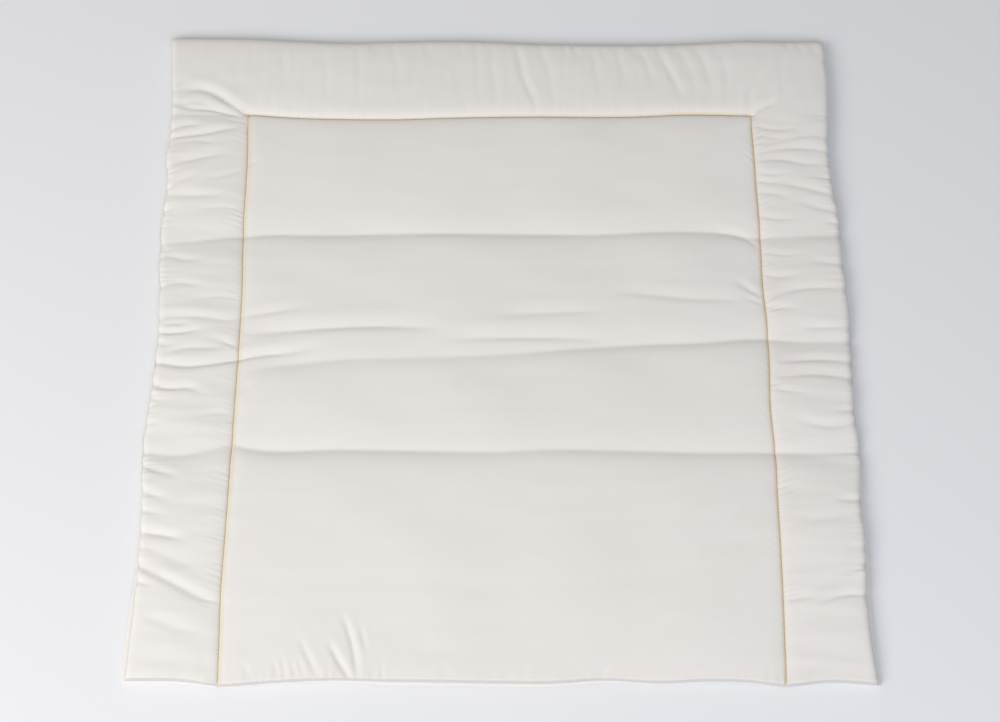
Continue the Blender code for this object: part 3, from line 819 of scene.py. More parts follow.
@dataclass(frozen=True)
class PadShape:
    """Height field of the pad and of the cloth under it."""

    outline: Outline
    height: float = 0.0215
    cloth: float = 0.0015
    clearance: float = 0.0004
    rim: float = 0.0015
    side_round: tuple[float, float] = (0.0095, 0.86)
    head_round: tuple[float, float] = (0.0140, 0.52)
    foot_round: tuple[float, float] = (0.0018, 0.94)
    foot_slope: float = 0.0085
    slope_reach: float = 0.230
    slope_power: float = 1.3
    wide_round: float = 0.064
    round_power: float = 2.7
    crevice_at_side: float = 0.0010
    crevice_at_head: float = 0.0024
    crevice_reach: float = 0.0011
    crevice_soft: float = 0.0003
    pinch_at_side: float = 0.0011
    pinch_at_head: float = 0.0026
    pinch_reach: float = 0.0038
    draw_at_side: float = 0.0016
    draw_at_head: float = 0.0034
    draw_side: float = 0.015
    draw_above_head: float = 0.013
    draw_below_head: float = 0.026
    sag_depth: float = 0.0042
    sag_reach: float = 0.055
    line_soft: float = 0.0009
    groove_soft: float = 0.0014
    crease_rise: float = 0.0012
    crease_width: float = 0.80
    crease_depth: float = 1.05
    crease_far: float = 1.15
    crease_near: float = 0.55
    crease_power: float = 1.25
    crease_ends: float = 0.02
    crest: float = 0.26
    crest_place: float = 2.0
    crest_width: float = 1.1
    broad: Ripples = Ripples(11, 0.070, 0.180, 1.6)
    broad_height: float = 0.00045
    lumps: Ripples = Ripples(12, 0.024, 0.060, 2.2)
    lump_height: float = 0.00010
    lump_in_border: float = 0.00016
    fine: Ripples = Ripples(13, 0.009, 0.022, 1.6)
    fine_height: float = 0.000030
    across: Ripples = Ripples(14, 0.008, 0.022, 4.0)
    across_height: float = 0.00010
    down: Ripples = Ripples(15, 0.040, 0.110, 0.20)
    down_height: float = 0.000075
    border_blend: float = 0.020
    relief_share: float = 1.6
    side_gathers: tuple[Gathers, ...] = (
        Gathers(True, 0.0034, 0.00021, 0.0050, 0.1, 31),
        Gathers(True, 0.0068, 0.00015, 0.0200, 0.3, 34),
        Gathers(False, 0.0110, 0.00014, 0.0100, 1.0, 37),
    )
    head_gathers: tuple[Gathers, ...] = (
        Gathers(True, 0.0060, 0.00026, 0.0090, 0.1, 41),
        Gathers(False, 0.0070, 0.00010, 0.0060, 0.0, 44),
    )
    gather_fade: float = 0.012
    gather_start: float = 0.0010
    gather_turn: float = 1.6
    gather_size: tuple[float, float] = (0.4, 0.7)
    size_span: tuple[float, float] = (0.015, 0.090)
    wander_pitches: tuple[float, float] = (3.0, 15.0)
    length_pitches: tuple[float, float] = (2.0, 6.0)
    length_spread: float = 0.4
    seam_pitch: float = 0.0075
    seam_height: float = 0.00058
    seam_reach: float = 0.007
    seam_start: float = 0.0012
    seam_turn: float = 2.0
    seam_size: tuple[float, float] = (0.55, 0.45)
    seam_wander: Ripples = Ripples(61, 0.015, 0.070)
    seam_sizes: Ripples = Ripples(71, 0.015, 0.080)
    seam_reaches: Ripples = Ripples(81, 0.010, 0.040)
    channel_depth: float = 0.0016
    channel_reach: float = 0.007

    def edge_share(self, inset: Array, tight: tuple[float, float]) -> Array:
        """Share of the height near a seam: a tight and a wide quarter of a superellipse, mixed.

        Args:
            inset: distance in from the seam.
            tight: reach and share of the tight one.

        Returns:
            0 at the seam, 1 inside.
        """
        power = self.round_power
        rounds = [(1.0 - (1.0 - np.clip(inset / reach, 0.0, 1.0)) ** power) ** (1.0 / power)
                  for reach in (tight[0], self.wide_round)]
        return tight[1] * rounds[0] + (1.0 - tight[1]) * rounds[1]

    def sewn_pull(self, p: Array, q: Array) -> Array:
        """Depth that the sewn line pulls the top down: a crevice in a narrow pinch in a wider draw.

        Args:
            p: places across the plain rectangle.
            q: places along it.

        Returns:
            Depth in metres. The side and head runs join by the root of the sum of their fourth powers.
        """
        side, head = self.outline.to_sewn(p, q)
        above = 0.5 + 0.5 * (q - self.outline.sewn_y) / np.maximum(np.abs(head), 1e-9)
        over_head = self.draw_below_head + (self.draw_above_head - self.draw_below_head) * above
        runs = []
        for away, crevice, pinch, depth, reach in (
                (side, self.crevice_at_side, self.pinch_at_side, self.draw_at_side, self.draw_side),
                (head, self.crevice_at_head, self.pinch_at_head, self.draw_at_head, over_head)):
            runs.append(pinch * cusp(away, self.pinch_reach, self.line_soft)
                        + crevice * cusp(away, self.crevice_reach, self.crevice_soft)
                        + depth * cusp(away, reach, self.line_soft))
        return (runs[0] ** 4 + runs[1] ** 4) ** 0.25

    def groove_relief(self, x: Array, y: Array) -> Array:
        """Cross grooves: a rounded V with a gentler far wall, in a wide sag that crowns the panels.

        Args:
            x: real places across the mat.
            y: real places along it.

        Returns:
            Height, 0 or less.
        """
        total = np.zeros_like(x)
        reach = 4.0 * self.sag_reach
        for groove in GROOVES:
            path = smooth_path(np.array(groove.path, dtype=float) * MM, 60)
            close = np.flatnonzero((y > path[:, 1].min() - reach) & (y < path[:, 1].max() + reach))
            place = nearest_on(path[:, :2], x[close], y[close])
            depth = np.interp(place.along, np.linspace(0.0, 1.0, len(path)), path[:, 2])
            wall = np.where(place.far, groove.far, groove.near) * MM
            total[close] -= depth * cusp(place.distance, wall, self.groove_soft)
            total[close] -= self.sag_depth * cusp(place.distance, self.sag_reach, self.sag_reach / 4.0)
        return total

    def crease_relief(self, x: Array, y: Array) -> Array:
        """Listed creases: a bell-shaped trough, steeper towards the foot, with a low ridge behind.

        Args:
            x: real places across the mat.
            y: real places along it.

        Returns:
            Height of all creases together.
        """
        total = np.zeros_like(x)
        for crease in CREASES:
            path = smooth_path(np.array(crease.path, dtype=float) * MM, 16)
            path[:, 1] += self.crease_rise
            width = crease.width * MM * self.crease_width
            reach = 4.0 * width
            low, high = path.min(axis=0) - reach, path.max(axis=0) + reach
            close = np.flatnonzero((x > low[0]) & (x < high[0]) & (y > low[1]) & (y < high[1]))
            place = nearest_on(path, x[close], y[close])
            t = np.where(place.far, place.distance / (self.crease_far * width),
                         -place.distance / (self.crease_near * width))
            fade = np.sqrt(np.sin(math.pi * np.clip(place.along, self.crease_ends, 1.0 - self.crease_ends)))
            crest = self.crest * np.exp(-((t - self.crest_place) / self.crest_width) ** 2)
            shape = -np.exp(-np.abs(t) ** self.crease_power) + crest
            total[close] += crease.depth * MM * self.crease_depth * fade * shape
        return total

    def gathers(self, kinds: tuple[Gathers, ...], away: Array, along: Array) -> Array:
        """Gathers across a sewn line: waves whose pitch, height and length wander along it.

        Args:
            kinds: the gathers on each side of the line.
            away: signed distance from the line, positive in the border.
            along: distance along the line.

        Returns:
            Height of the gathers, 0 on the line and far from it.
        """
        total = np.zeros_like(along)
        none = np.zeros_like(along)
        far = np.abs(away)
        for kind in kinds:
            shortest, longest = self.wander_pitches
            wander = Ripples(kind.seed, shortest * kind.pitch, longest * kind.pitch).at(along, none)
            sizes = Ripples(kind.seed + 1, *self.size_span).at(along, none)
            size = np.maximum(self.gather_size[0] + self.gather_size[1] * sizes, 0.0)
            shortest, longest = self.length_pitches
            lengths = Ripples(kind.seed + 2, shortest * kind.pitch, longest * kind.pitch).at(along, none)
            length = np.exp(self.length_spread * lengths)
            phase = 2.0 * math.pi * (along - kind.slant * far) / kind.pitch + self.gather_turn * wander
            height = kind.height * size * np.exp(-far / (kind.reach * length))
            height = height * (1.0 - np.exp(-far / self.gather_start))
            total += np.where((away > 0.0) == kind.in_border, height * np.sin(phase), 0.0)
        return total

    def seam_gathers(self, p: Array, q: Array) -> Array:
        """Small puckers at the seam, highest a few millimetres in from it.

        Args:
            p: places across the plain rectangle.
            q: places along it.

        Returns:
            Height of the puckers.
        """
        side, end = self.outline.insets(p, q)
        total = np.zeros_like(p)
        for number, (inset, along) in enumerate(((side, q + np.sign(p)), (end, p + np.sign(q)))):
            none = np.zeros_like(along)
            wander, sizes, reaches = (replace(ripples, seed=ripples.seed + number).at(along, none)
                                      for ripples in (self.seam_wander, self.seam_sizes, self.seam_reaches))
            size = self.seam_size[0] + self.seam_size[1] * sizes
            wave = np.sin(2.0 * math.pi * along / self.seam_pitch + self.seam_turn * wander)
            reach = self.seam_reach * np.exp(self.length_spread * reaches)
            height = self.seam_height * size * wave * np.exp(-inset / reach)
            total += height * (1.0 - np.exp(-inset / self.seam_start))
        return total

    def ripple_relief(self, x: Array, y: Array, in_side: Array, in_head: Array) -> Array:
        """Loose unevenness of the filling and the cloth: ripples in all sizes, across in the side borders.

        Args:
            x: real places across the mat.
            y: real places along it.
            in_side: 1 in the side borders, 0 elsewhere.
            in_head: 1 in the head border, 0 elsewhere.

        Returns:
            Height of the ripples.
        """
        broad = self.broad_height * self.broad.at(x, y)
        lumps = (self.lump_height + self.lump_in_border * in_side) * self.lumps.at(x, y)
        fine = self.fine_height * self.fine.at(x, y)
        across = self.across_height * in_side * self.across.at(x, y)
        down = self.down_height * in_head * self.down.at(x, y)
        return broad + lumps + fine + across + down

    def top(self, p: Array, q: Array) -> tuple[Array, Array, Array]:
        """Real place of the top: the rim's height, the rounded body and all relief on it.

        Args:
            p: places across the plain rectangle.
            q: places along it.

        Returns:
            x, y and z.
        """
        x, y = self.outline.settle(p, q)
        side, end = self.outline.insets(p, q)
        ends = np.where(q > 0.0, self.edge_share(end, self.head_round), self.edge_share(end, self.foot_round))
        toward_foot = np.clip(1.0 - (self.outline.half_depth + q) / self.slope_reach, 0.0, 1.0)
        low = self.foot_slope * toward_foot ** self.slope_power
        share = self.edge_share(side, self.side_round) * ends
        rim = self.outline.lift(p, q) + self.cloth + self.clearance + self.rim
        to_side, to_head = self.outline.to_sewn(p, q)
        in_side = np.clip(0.5 + (np.abs(p) - self.outline.sewn_x) / self.border_blend, 0.0, 1.0)
        in_head = np.clip(0.5 + (q - self.outline.sewn_y) / self.border_blend, 0.0, 1.0)
        relief = self.groove_relief(x, y) + self.crease_relief(x, y) - self.sewn_pull(p, q)
        relief += self.ripple_relief(x, y, in_side * (1.0 - in_head), in_head)
        before_head = np.clip((self.outline.sewn_y - q) / self.gather_fade + 0.5, 0.0, 1.0)
        before_side = np.clip((self.outline.sewn_x - np.abs(p)) / self.gather_fade + 0.5, 0.0, 1.0)
        relief += self.gathers(self.side_gathers, to_side, q + np.sign(p)) * before_head
        relief += self.gathers(self.head_gathers, to_head, p) * before_side
        z = rim + (self.height - low - rim) * share + relief * np.clip(self.relief_share * share, 0.0, 1.0)
        return x, y, np.maximum(z + self.seam_gathers(p, q), rim)

    def under(self, p: Array, q: Array) -> Array:
        """Height of the back cloth's underside: its lift at the seam and the sewn line's channel.

        Args:
            p: places across the plain rectangle.
            q: places along it.

        Returns:
            Height, 0 where the mat rests.
        """
        side, head = self.outline.to_sewn(p, q)
        away = np.minimum(np.abs(side), np.abs(head))
        return self.outline.lift(p, q) + self.channel_depth * cusp(away, self.channel_reach, self.line_soft)


def add_node(tree: bpy.types.NodeTree, kind: str, settings: dict[str, Any] | None = None,
             links: dict[str, bpy.types.NodeSocket] | None = None) -> bpy.types.Node:
    """Add a node with its settings and links.

    Args:
        tree: node tree that it goes into.
        kind: type of the node.
        settings: value for each named property, or else input.
        links: output socket for each named or numbered input.

    Returns:
        The new node.
    """
    node = tree.nodes.new(kind)
    for name, value in (settings or {}).items():
        if hasattr(node, name):
            setattr(node, name, value)
        else:
            node.inputs[int(name) if name.isdigit() else name].default_value = value
    for name, socket in (links or {}).items():
        tree.links.new(socket, node.inputs[int(name) if name.isdigit() else name])
    return node


def new_material(name: str) -> tuple[bpy.types.Material, bpy.types.NodeTree, bpy.types.NodeSocket]:
    """Start a material that is made of nodes.

    Args:
        name: its name.

    Returns:
        The material, its node tree and its object coordinates.
    """
    material = bpy.data.materials.new(name)
    material.use_nodes = True
    tree = material.node_tree
    return material, tree, add_node(tree, "ShaderNodeTexCoord").outputs["Object"]


@dataclass(frozen=True)
class CottonFinish:
    """Plain-weave undyed cotton, washed and unpressed: matt, warm white, with soft slubs in both ways.

    The eye sees a soft grain and faint slubs. Where the cloth dips to the sewn line a warmer tone is painted:
    painted warm shade of the trough, with the thread's tan showing through the thin cloth. Right on the line
    a darker tan is painted shade of its crevice, and a greyer tone at the thin turned edge is painted shade
    of the seam. Its threads stand about 0.45 mm apart, drawn at twice that.
    """

    name: str
    cloth: str = "ECE9E2"
    shade: str = "E9E5DD"
    # Painted warm shade of the trough at the sewn line, with the thread's tan showing through the thin cloth
    sewn: str = "E6DCC7"
    # Painted tan shade of the crevice that the stitches sit in
    line: str = "DACAAF"
    # Painted grey shade of the seam's crevice at the thin turned edge
    edge: str = "D2D0CB"
    roughness: float = 0.90
    sheen: float = 0.12
    thread: float = 0.0009
    slub: float = 0.0016
    slub_length: float = 0.060
    mottle: float = 0.110
    relief: float = 0.00003
    weave_share: float = 0.4
    tone_range: tuple[float, float] = (0.15, 0.95)
    sewn_painted_shade_fade: tuple[float, float] = (0.5, 4.5)
    line_painted_shade_fade: tuple[float, float] = (0.3, 1.0)
    edge_painted_shade_fade: tuple[float, float] = (0.6, 2.4)

    def wave(self, tree: bpy.types.NodeTree, place: bpy.types.NodeSocket, way: str) -> bpy.types.Node:
        """Threads that lie across one axis: a wave whose period is 2 pi / (20 scale).

        Args:
            tree: the material's node tree.
            place: object coordinates.
            way: X or Y.

        Returns:
            The texture node.
        """
        scale = 2.0 * math.pi / (20.0 * self.thread)
        return add_node(tree, "ShaderNodeTexWave", {"bands_direction": way, "Scale": scale, "Distortion": 0.6,
                                                    "Detail": 1.0}, {"Vector": place})

    def slubs(self, tree: bpy.types.NodeTree, place: bpy.types.NodeSocket, along_x: bool) -> bpy.types.Node:
        """Thick places in the threads: noise stretched along one axis.

        Args:
            tree: the material's node tree.
            place: object coordinates.
            along_x: for the threads along x.

        Returns:
            The texture node.
        """
        fine, long = 1.0 / self.slub, 1.0 / self.slub_length
        scale = (long, fine, fine) if along_x else (fine, long, fine)
        mapping = add_node(tree, "ShaderNodeMapping", {"Scale": scale}, {"Vector": place})
        return add_node(tree, "ShaderNodeTexNoise", {"Scale": 1.0, "Detail": 2.0},
                        {"Vector": mapping.outputs[0]})

    def near(self, tree: bpy.types.NodeTree, name: str, full: float, none: float) -> bpy.types.Node:
        """Share of a tint from a distance kept on the mesh, 1 within one distance and 0 past another.

        Args:
            tree: the material's node tree.
            name: the attribute.
            full: distance in millimetres where the tint is whole.
            none: distance in millimetres where it has gone.

        Returns:
            The node that gives the share.
        """
        distance = add_node(tree, "ShaderNodeAttribute", {"attribute_name": name})
        return add_node(tree, "ShaderNodeMapRange", {"interpolation_type": "SMOOTHSTEP", "From Min": none,
                                                     "From Max": full}, {"Value": distance.outputs["Fac"]})

    def blend(self, tree: bpy.types.NodeTree, share: bpy.types.NodeSocket, under: bpy.types.NodeSocket,
              over: str) -> bpy.types.NodeSocket:
        """Colour of one tone laid over another.

        Args:
            tree: the material's node tree.
            share: how much of the upper tone shows.
            under: the lower tone.
            over: the upper tone's hex code.

        Returns:
            The colour socket.
        """
        mix = add_node(tree, "ShaderNodeMix", {"data_type": "RGBA"})
        mix.inputs[7].default_value = (*linear(over), 1.0)
        tree.links.new(share, mix.inputs[0])
        tree.links.new(under, mix.inputs[6])
        return mix.outputs[2]

    def material(self) -> bpy.types.Material:
        """Cotton's material.

        Returns:
            The material, on object coordinates and the mesh's three distances.
        """
        material, tree, place = new_material(self.name)
        warp, weft = self.wave(tree, place, "X"), self.wave(tree, place, "Y")
        along, across = self.slubs(tree, place, True), self.slubs(tree, place, False)
        weave = add_node(tree, "ShaderNodeMath", {"operation": "MAXIMUM"},
                         {"0": warp.outputs["Fac"], "1": weft.outputs["Fac"]})
        slubbed = add_node(tree, "ShaderNodeMath", {"operation": "ADD"},
                           {"0": along.outputs["Fac"], "1": across.outputs["Fac"]})
        surface = add_node(tree, "ShaderNodeMath", {"operation": "MULTIPLY_ADD", "1": self.weave_share},
                           {"0": weave.outputs[0], "2": slubbed.outputs[0]})
        mottle = add_node(tree, "ShaderNodeTexNoise", {"Scale": 1.0 / self.mottle, "Detail": 4.0,
                                                       "Roughness": 0.6}, {"Vector": place})
        tone = add_node(tree, "ShaderNodeMath", {"operation": "MULTIPLY"},
                        {"0": slubbed.outputs[0], "1": mottle.outputs["Fac"]})
        ground = add_node(tree, "ShaderNodeValToRGB", links={"Fac": tone.outputs[0]})
        low, high = ground.color_ramp.elements
        low.position, high.position = self.tone_range
        low.color, high.color = (*linear(self.cloth), 1.0), (*linear(self.shade), 1.0)
        sewn = self.near(tree, "sewn_mm", *self.sewn_painted_shade_fade)
        line = self.near(tree, "line_mm", *self.line_painted_shade_fade)
        edge = self.near(tree, "seam_mm", *self.edge_painted_shade_fade)
        # Painted warm shade where the cloth dips to the sewn line, with the thread's tan showing through
        colour = self.blend(tree, sewn.outputs[0], ground.outputs[0], self.sewn)
        # Painted tan shade of the sewn line's crevice
        colour = self.blend(tree, line.outputs[0], colour, self.line)
        # Painted grey shade at the seam's thin turned edge
        colour = self.blend(tree, edge.outputs[0], colour, self.edge)
        bump = add_node(tree, "ShaderNodeBump", {"Strength": 1.0, "Distance": self.relief},
                        {"Height": surface.outputs[0]})
        shader = tree.nodes["Principled BSDF"]
        shader.inputs["Roughness"].default_value = self.roughness
        shader.inputs["Sheen Weight"].default_value = self.sheen
        tree.links.new(colour, shader.inputs["Base Color"])
        tree.links.new(bump.outputs[0], shader.inputs["Normal"])
        return material


@dataclass(frozen=True)
class ThreadFinish:
    """Spun polyester sewing thread, ecru and twisted from two plies: the eye sees a faint diagonal lay."""

    name: str = "spun_sewing_thread"
    # Darker than ecru: part the thread's own tan, part painted shade of the crevice that the stitches lie in
    crown: str = "B49D7E"
    valley_painted_shade: str = "8E785C"
    roughness: float = 0.55
    ply: float = 0.0007
    relief: float = 0.00008
    strength: float = 0.5

    def material(self) -> bpy.types.Material:
        """Thread's material.

        Returns:
            The material, with its plies as a diagonal wave on object coordinates.
        """
        material, tree, place = new_material(self.name)
        scale = 2.0 * math.pi / (20.0 * self.ply)
        plies = add_node(tree, "ShaderNodeTexWave", {"bands_direction": "DIAGONAL", "Scale": scale},
                         {"Vector": place})
        # Painted shade in the valleys between the plies: the lower tone of this ramp
        ramp = add_node(tree, "ShaderNodeValToRGB", links={"Fac": plies.outputs["Fac"]})
        low, high = ramp.color_ramp.elements
        low.color, high.color = (*linear(self.valley_painted_shade), 1.0), (*linear(self.crown), 1.0)
        bump = add_node(tree, "ShaderNodeBump", {"Strength": self.strength, "Distance": self.relief},
                        {"Height": plies.outputs["Fac"]})
        shader = tree.nodes["Principled BSDF"]
        shader.inputs["Roughness"].default_value = self.roughness
        tree.links.new(ramp.outputs[0], shader.inputs["Base Color"])
        tree.links.new(bump.outputs[0], shader.inputs["Normal"])
        return material


@dataclass(frozen=True)
class BoardFinish:
    """Matt painted board of a studio table: cool white, with the faintest roller mottle."""

    name: str = "painted_board"
    light: str = "EDEDEE"
    dark: str = "EBECED"
    mottle: float = 0.25
    roughness: float = 0.75

    def material(self) -> bpy.types.Material:
        """Board's material.

        Returns:
            The material, on object coordinates.
        """
        material, tree, place = new_material(self.name)
        noise = add_node(tree, "ShaderNodeTexNoise", {"Scale": 1.0 / self.mottle, "Detail": 3.0},
                         {"Vector": place})
        ramp = add_node(tree, "ShaderNodeValToRGB", links={"Fac": noise.outputs["Fac"]})
        low, high = ramp.color_ramp.elements
        low.color, high.color = (*linear(self.dark), 1.0), (*linear(self.light), 1.0)
        shader = tree.nodes["Principled BSDF"]
        shader.inputs["Roughness"].default_value = self.roughness
        tree.links.new(ramp.outputs[0], shader.inputs["Base Color"])
        return material


def add_piece(name: str, points: Array, faces: list[list[int]], material: bpy.types.Material,
              sharp: float | None = None) -> bpy.types.Object:
    """Put a mesh into the scene at the origin, smooth-shaded.

    Args:
        name: name of the piece.
        points: one row for each point.
        faces: point numbers of each face.
        material: its finish.
        sharp: angle in degrees past which an edge is crisp.

    Returns:
        The piece.
    """
    mesh = bpy.data.meshes.new(name)
    mesh.from_pydata(points.tolist(), [], faces)
    mesh.materials.append(material)
    mesh.shade_smooth()
    if sharp is not None:
        mesh.set_sharp_from_angle(angle=math.radians(sharp))
    piece = bpy.data.objects.new(name, mesh)
    bpy.context.scene.collection.objects.link(piece)
    return piece


def keep_distance(piece: bpy.types.Object, name: str, values: Array) -> None:
    """Keep a distance in millimetres on each point of a piece, for its material.

    Args:
        piece: the mesh piece.
        name: name of the attribute.
        values: distance in metres for each point.
    """
    attribute = piece.data.attributes.new(name, "FLOAT", "POINT")
    attribute.data.foreach_set("value", (values / MM).astype(np.float32))


@dataclass(frozen=True)
class MatPad:
    """Top panel with its padding: the pad that shows."""

    shape: PadShape
    cutting: Cutting
    bead: float = 0.0004
    # Shifts of the painted warm shade off the left and right runs of the sewn line
    left_shade_shift: float = 0.0018
    right_shade_shift: float = 0.0004
    under_seam: float = 0.003

    def build(self, finish: CottonFinish) -> bpy.types.Object:
        """Build the pad as one closed mesh: top, rounded rim and underside.

        Args:
            finish: the cotton of the top panel.

        Returns:
            The piece.
        """
        outline = self.shape.outline
        top, under = self.cutting.top(), self.cutting.under(False)
        x, y, z = self.shape.top(top.p, top.q)
        above = outline.centred(x, y, z)
        edge = above[top.border]
        out = np.stack([np.sign(top.p) * (outline.insets(top.p, top.q)[0] == 0.0),
                        np.sign(top.q) * (outline.insets(top.p, top.q)[1] == 0.0)], axis=1)[top.border]
        drop = np.full((len(edge), 1), -self.shape.rim / 2.0)
        bulge = edge + np.concatenate([out * self.bead, drop], axis=1)
        ux, uy = outline.settle(under.p, under.q)
        base = self.shape.under(under.p, under.q) + self.shape.cloth + self.shape.clearance
        below = outline.centred(ux, uy, base)
        points = np.concatenate([above, bulge, below])
        ring = len(above) + np.arange(len(top.border) - 1)
        ring = np.append(ring, ring[0])
        start = len(above) + len(bulge)
        wall = np.stack([ring[:-1], ring[1:], top.border[1:], top.border[:-1]], axis=1)
        skirt = zipped(start + under.border, under.border_at, ring, top.border_at)
        faces = top.quads.tolist() + top.triangles.tolist() + wall.tolist() + skirt.tolist()
        faces += (start + under.quads)[:, ::-1].tolist()
        piece = add_piece("padded_top", points, faces, finish.material())
        self.mark(piece, top, len(bulge), under)
        return piece

    def mark(self, piece: bpy.types.Object, top: Layer, ring: int, under: Layer) -> None:
        """Keep each point's distances to the sewn line and the seam for the cotton's painted shade there.

        Args:
            piece: the pad.
            top: its top layer.
            ring: number of points on the rim's bead.
            under: its underside.
        """
        outline = self.shape.outline
        # The painted warm shade is measured from a line shifted to one side of each sewn run
        shift = np.where(top.p < 0.0, self.left_shade_shift, -self.right_shade_shift)
        side, head = outline.to_sewn(top.p - shift, top.q)
        sewn = np.minimum(np.abs(side), np.abs(head) + np.abs(shift))
        line = np.min(np.abs(outline.to_sewn(top.p, top.q)), axis=0)
        seam = np.minimum(*outline.insets(top.p, top.q))
        rest = len(under.p)
        keep_distance(piece, "sewn_mm", np.concatenate([sewn, np.full(ring + rest, FAR)]))
        keep_distance(piece, "line_mm", np.concatenate([line, np.full(ring + rest, FAR)]))
        # The bead's seam distance of 0 gives it the full painted grey shade; the underside lies past the fade
        # and gets none
        below = np.full(rest, self.under_seam)
        keep_distance(piece, "seam_mm", np.concatenate([seam, np.zeros(ring), below]))


@dataclass(frozen=True)
class BackCloth:
    """Back panel: one sheet under the pad, whose edge rises to the seam and rolls out past it in places."""

    shape: PadShape
    cutting: Cutting
    thin_edge: float = 0.12

    def build(self, finish: CottonFinish) -> bpy.types.Object:
        """Build the sheet as two layers and the wall between them.

        Args:
            finish: the cotton of the back panel.

        Returns:
            The piece.
        """
        outline = self.shape.outline
        layer = self.cutting.under(True)
        past_side = np.clip((np.abs(layer.p) - outline.half_width) / outline.roll_unit, 0.0, 1.0)
        past_end = np.clip((np.abs(layer.q) - outline.half_depth) / outline.roll_unit, 0.0, 1.0)
        p = np.clip(layer.p, -outline.half_width, outline.half_width)
        q = np.clip(layer.q, -outline.half_depth, outline.half_depth)
        x, y = outline.settle(p, q)
        side = np.where(p < 0.0, outline.side("left_roll", q), outline.side("right_roll", q))
        end = np.where(q < 0.0, outline.end("foot_roll", p), 0.0)
        x = x + np.sign(p) * (np.maximum(side, 0.0) + outline.turned) * np.sin(past_side * math.pi / 2.0)
        y = y + np.sign(q) * (np.maximum(end, 0.0) + outline.turned) * np.sin(past_end * math.pi / 2.0)
        past = np.maximum(past_side, past_end)
        half = 0.5 * self.shape.cloth * np.maximum(np.cos(past * math.pi / 2.0), self.thin_edge)
        middle = self.shape.under(p, q) + 0.5 * self.shape.cloth
        low = outline.centred(x, y, middle - half)
        high = outline.centred(x, y, middle + half)
        count = len(low)
        wall = zipped(layer.border, layer.border_at, count + layer.border, layer.border_at)
        faces = layer.quads[:, ::-1].tolist() + (count + layer.quads).tolist() + wall.tolist()
        piece = add_piece("back_panel", np.concatenate([low, high]), faces, finish.material())
        # The back panel takes the painted warm shade and painted crevice shade along the sewn line's channel;
        # its seam distance is far, so no painted grey seam shade
        to_side, to_head = outline.to_sewn(p, q)
        sewn = np.minimum(np.abs(to_side), np.abs(to_head))
        seam = np.full(count, FAR)
        keep_distance(piece, "sewn_mm", np.concatenate([sewn, sewn]))
        keep_distance(piece, "line_mm", np.concatenate([sewn, sewn]))
        keep_distance(piece, "seam_mm", np.concatenate([seam, seam]))
        return piece


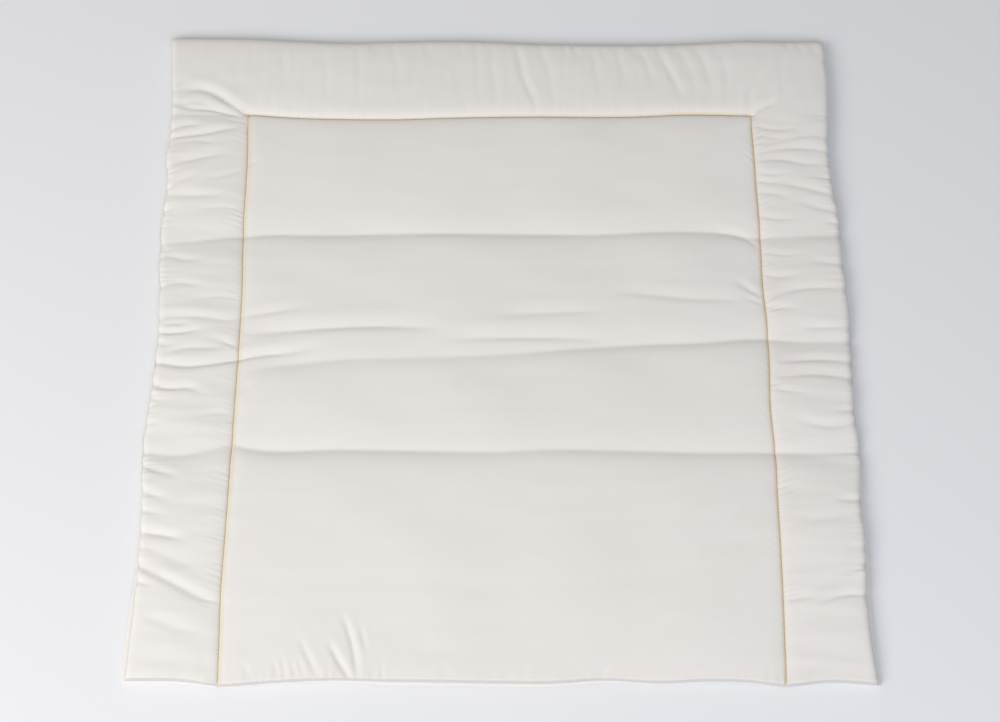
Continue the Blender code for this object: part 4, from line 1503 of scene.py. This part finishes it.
@dataclass(frozen=True)
class Stitching:
    """Machine stitches of the sewn line, each a short plump run of thread that dives in at both ends."""

    shape: PadShape
    pitch: float = 0.0034
    length: float = 0.0029
    width: float = 0.00027
    height: float = 0.00024
    sink: float = 0.00045
    start: float = 0.002
    rings: int = 6
    sides: int = 6
    step: float = 0.0003
    along_spread: float = 0.00010
    across_spread: float = 0.00008
    narrowing: float = 0.75
    top_seed: int = 5
    back_seed: int = 6

    def route(self) -> tuple[Array, Array]:
        """Route of the sewn line over the plain rectangle: up the left, across the head, down the right.

        Returns:
            p and q along it.
        """
        outline = self.shape.outline
        foot = -outline.half_depth + self.start
        corners = np.array([(-outline.sewn_x, foot), (-outline.sewn_x, outline.sewn_y),
                            (outline.sewn_x, outline.sewn_y), (outline.sewn_x, foot)])
        lengths = np.concatenate(([0.0], np.cumsum(np.abs(np.diff(corners, axis=0)).sum(axis=1))))
        at = np.arange(0.0, lengths[-1], self.step)
        return np.interp(at, lengths, corners[:, 0]), np.interp(at, lengths, corners[:, 1])

    def build(self, facing: Facing, material: bpy.types.Material) -> bpy.types.Object:
        """Build the row of stitches on the top or under the back cloth.

        Args:
            facing: up for the top's row.
            material: the thread's finish.

        Returns:
            The piece.
        """
        outline = self.shape.outline
        p, q = self.route()
        if facing is Facing.UP:
            x, y, z = self.shape.top(p, q)
        else:
            x, y = outline.settle(p, q)
            z = self.shape.under(p, q)
        line = outline.centred(x, y, z)
        lengths = np.concatenate(([0.0], np.cumsum(np.hypot(*np.diff(line[:, :2], axis=0).T))))
        rng = np.random.default_rng(self.top_seed if facing is Facing.UP else self.back_seed)
        middles = np.arange(self.pitch, lengths[-1] - self.pitch, self.pitch)
        middles = middles + rng.normal(0.0, self.along_spread, len(middles))
        u = np.linspace(-1.0, 1.0, self.rings)
        at = middles[:, None] + 0.5 * self.length * u
        spine = np.stack([np.interp(at, lengths, axis) for axis in line.T], axis=-1)
        ahead = np.stack([np.interp(at + self.step, lengths, axis) for axis in line.T], axis=-1)
        run = ahead - spine
        run[..., 2] = 0.0
        run /= np.maximum(np.linalg.norm(run, axis=-1, keepdims=True), 1e-9)
        across = np.stack([-run[..., 1], run[..., 0], np.zeros_like(run[..., 0])], axis=-1)
        up = facing.value
        spine[..., 2] += up * (0.5 * self.height - self.sink * np.abs(u) ** 4)
        spine += across * rng.normal(0.0, self.across_spread, (len(middles), 1, 1))
        around = np.linspace(0.0, 2.0 * math.pi, self.sides, endpoint=False)
        taper = np.sqrt(1.0 - self.narrowing * np.abs(u) ** 4)[None, :, None, None]
        side = across[:, :, None, :] * (np.cos(around) * self.width)[None, None, :, None]
        rise = np.array([0.0, 0.0, self.height])
        points = spine[:, :, None, :] + taper * (side + (np.sin(around))[None, None, :, None] * rise)
        count = len(middles)
        at_ring = np.arange(count * self.rings * self.sides).reshape(count, self.rings, self.sides)
        after = np.roll(at_ring, -1, axis=2)
        quads = np.stack([at_ring[:, :-1], at_ring[:, 1:], after[:, 1:], after[:, :-1]], axis=-1)
        caps = at_ring[:, 0, :].tolist() + at_ring[:, -1, ::-1].tolist()
        name = "top_stitches" if facing is Facing.UP else "back_stitches"
        return add_piece(name, points.reshape(-1, 3), quads.reshape(-1, 4).tolist() + caps, material)


@dataclass(frozen=True)
class Softbox:
    """One large soft light: where it stands, its size, power and tint. It looks at the mat's middle."""

    name: str
    place: tuple[float, float, float]
    size: float
    power: float
    tint: str

    def build(self) -> None:
        """Put the light into the scene."""
        light = bpy.data.lights.new(self.name, "AREA")
        light.shape = "SQUARE"
        light.size = self.size
        light.energy = self.power
        light.color = linear(self.tint)
        lamp = bpy.data.objects.new(self.name, light)
        lamp.location = self.place
        aim = -np.array(self.place)
        lamp.rotation_euler = (math.atan2(math.hypot(aim[0], aim[1]), -aim[2]), 0.0,
                               math.atan2(aim[1], aim[0]) - math.pi / 2.0)
        bpy.context.scene.collection.objects.link(lamp)


@dataclass(frozen=True)
class Studio:
    """Plain pale floor, soft lights and the camera at the photograph's angle."""

    floor_size: float = 14.0
    camera_place: tuple[float, float, float] = (-0.0015, -0.7113, 1.770)
    camera_tilt: float = 21.2
    lens: float = 59.98
    sensor: float = 36.0
    sky: str = "F6F7F9"
    sky_strength: float = 0.42
    boxes: tuple[Softbox, ...] = (
        Softbox("left_box", (-2.0, -1.5, 2.2), 1.9, 60.0, "FFFBF6"),
        Softbox("right_box", (0.4, -2.2, 2.5), 1.6, 33.0, "E2E8FB"),
    )

    def build(self, board: BoardFinish) -> None:
        """Build the floor, the lights, the sky and the camera.

        Args:
            board: finish of the floor.
        """
        half = self.floor_size / 2.0
        points = np.array([(-half, -half, 0.0), (half, -half, 0.0), (half, half, 0.0), (-half, half, 0.0)])
        floor = add_piece("studio_floor", points, [[0, 1, 2, 3]], board.material())
        for box in self.boxes:
            box.build()
        world = bpy.data.worlds.new("studio_sky")
        world.use_nodes = True
        background = world.node_tree.nodes["Background"]
        background.inputs["Color"].default_value = (*linear(self.sky), 1.0)
        background.inputs["Strength"].default_value = self.sky_strength
        bpy.context.scene.world = world
        camera_data = bpy.data.cameras.new("camera")
        camera_data.lens = self.lens
        camera_data.sensor_width = self.sensor
        camera = bpy.data.objects.new("camera", camera_data)
        camera.location = self.camera_place
        camera.rotation_euler = (math.radians(self.camera_tilt), 0.0, 0.0)
        bpy.context.scene.collection.objects.link(camera)
        bpy.context.scene.camera = camera
        bpy.context.scene.view_settings.view_transform = "Standard"


def main() -> None:
    """Build the mat's pieces and the studio, tie each piece to the frame and report it."""
    logging.basicConfig(level=logging.INFO, format="%(message)s")
    outline = Outline()
    shape = PadShape(outline)
    cutting = Cutting(outline)
    pad = MatPad(shape, cutting).build(CottonFinish("plain_weave_cotton"))
    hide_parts("mat_pad")
    back = BackCloth(shape, cutting).build(CottonFinish("plain_weave_backing", "EDEAE4", "E9E4DE"))
    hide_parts("back_cloth")
    thread = ThreadFinish().material()
    stitching = Stitching(shape)
    pieces = [pad, back, stitching.build(Facing.UP, thread), stitching.build(Facing.DOWN, thread)]
    for piece in pieces:
        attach(piece, "root")
        REPORT.info("%s: %d points, %d faces", piece.name, len(piece.data.vertices), len(piece.data.polygons))
    Studio().build(BoardFinish())


if __name__ == "__main__":
    main()
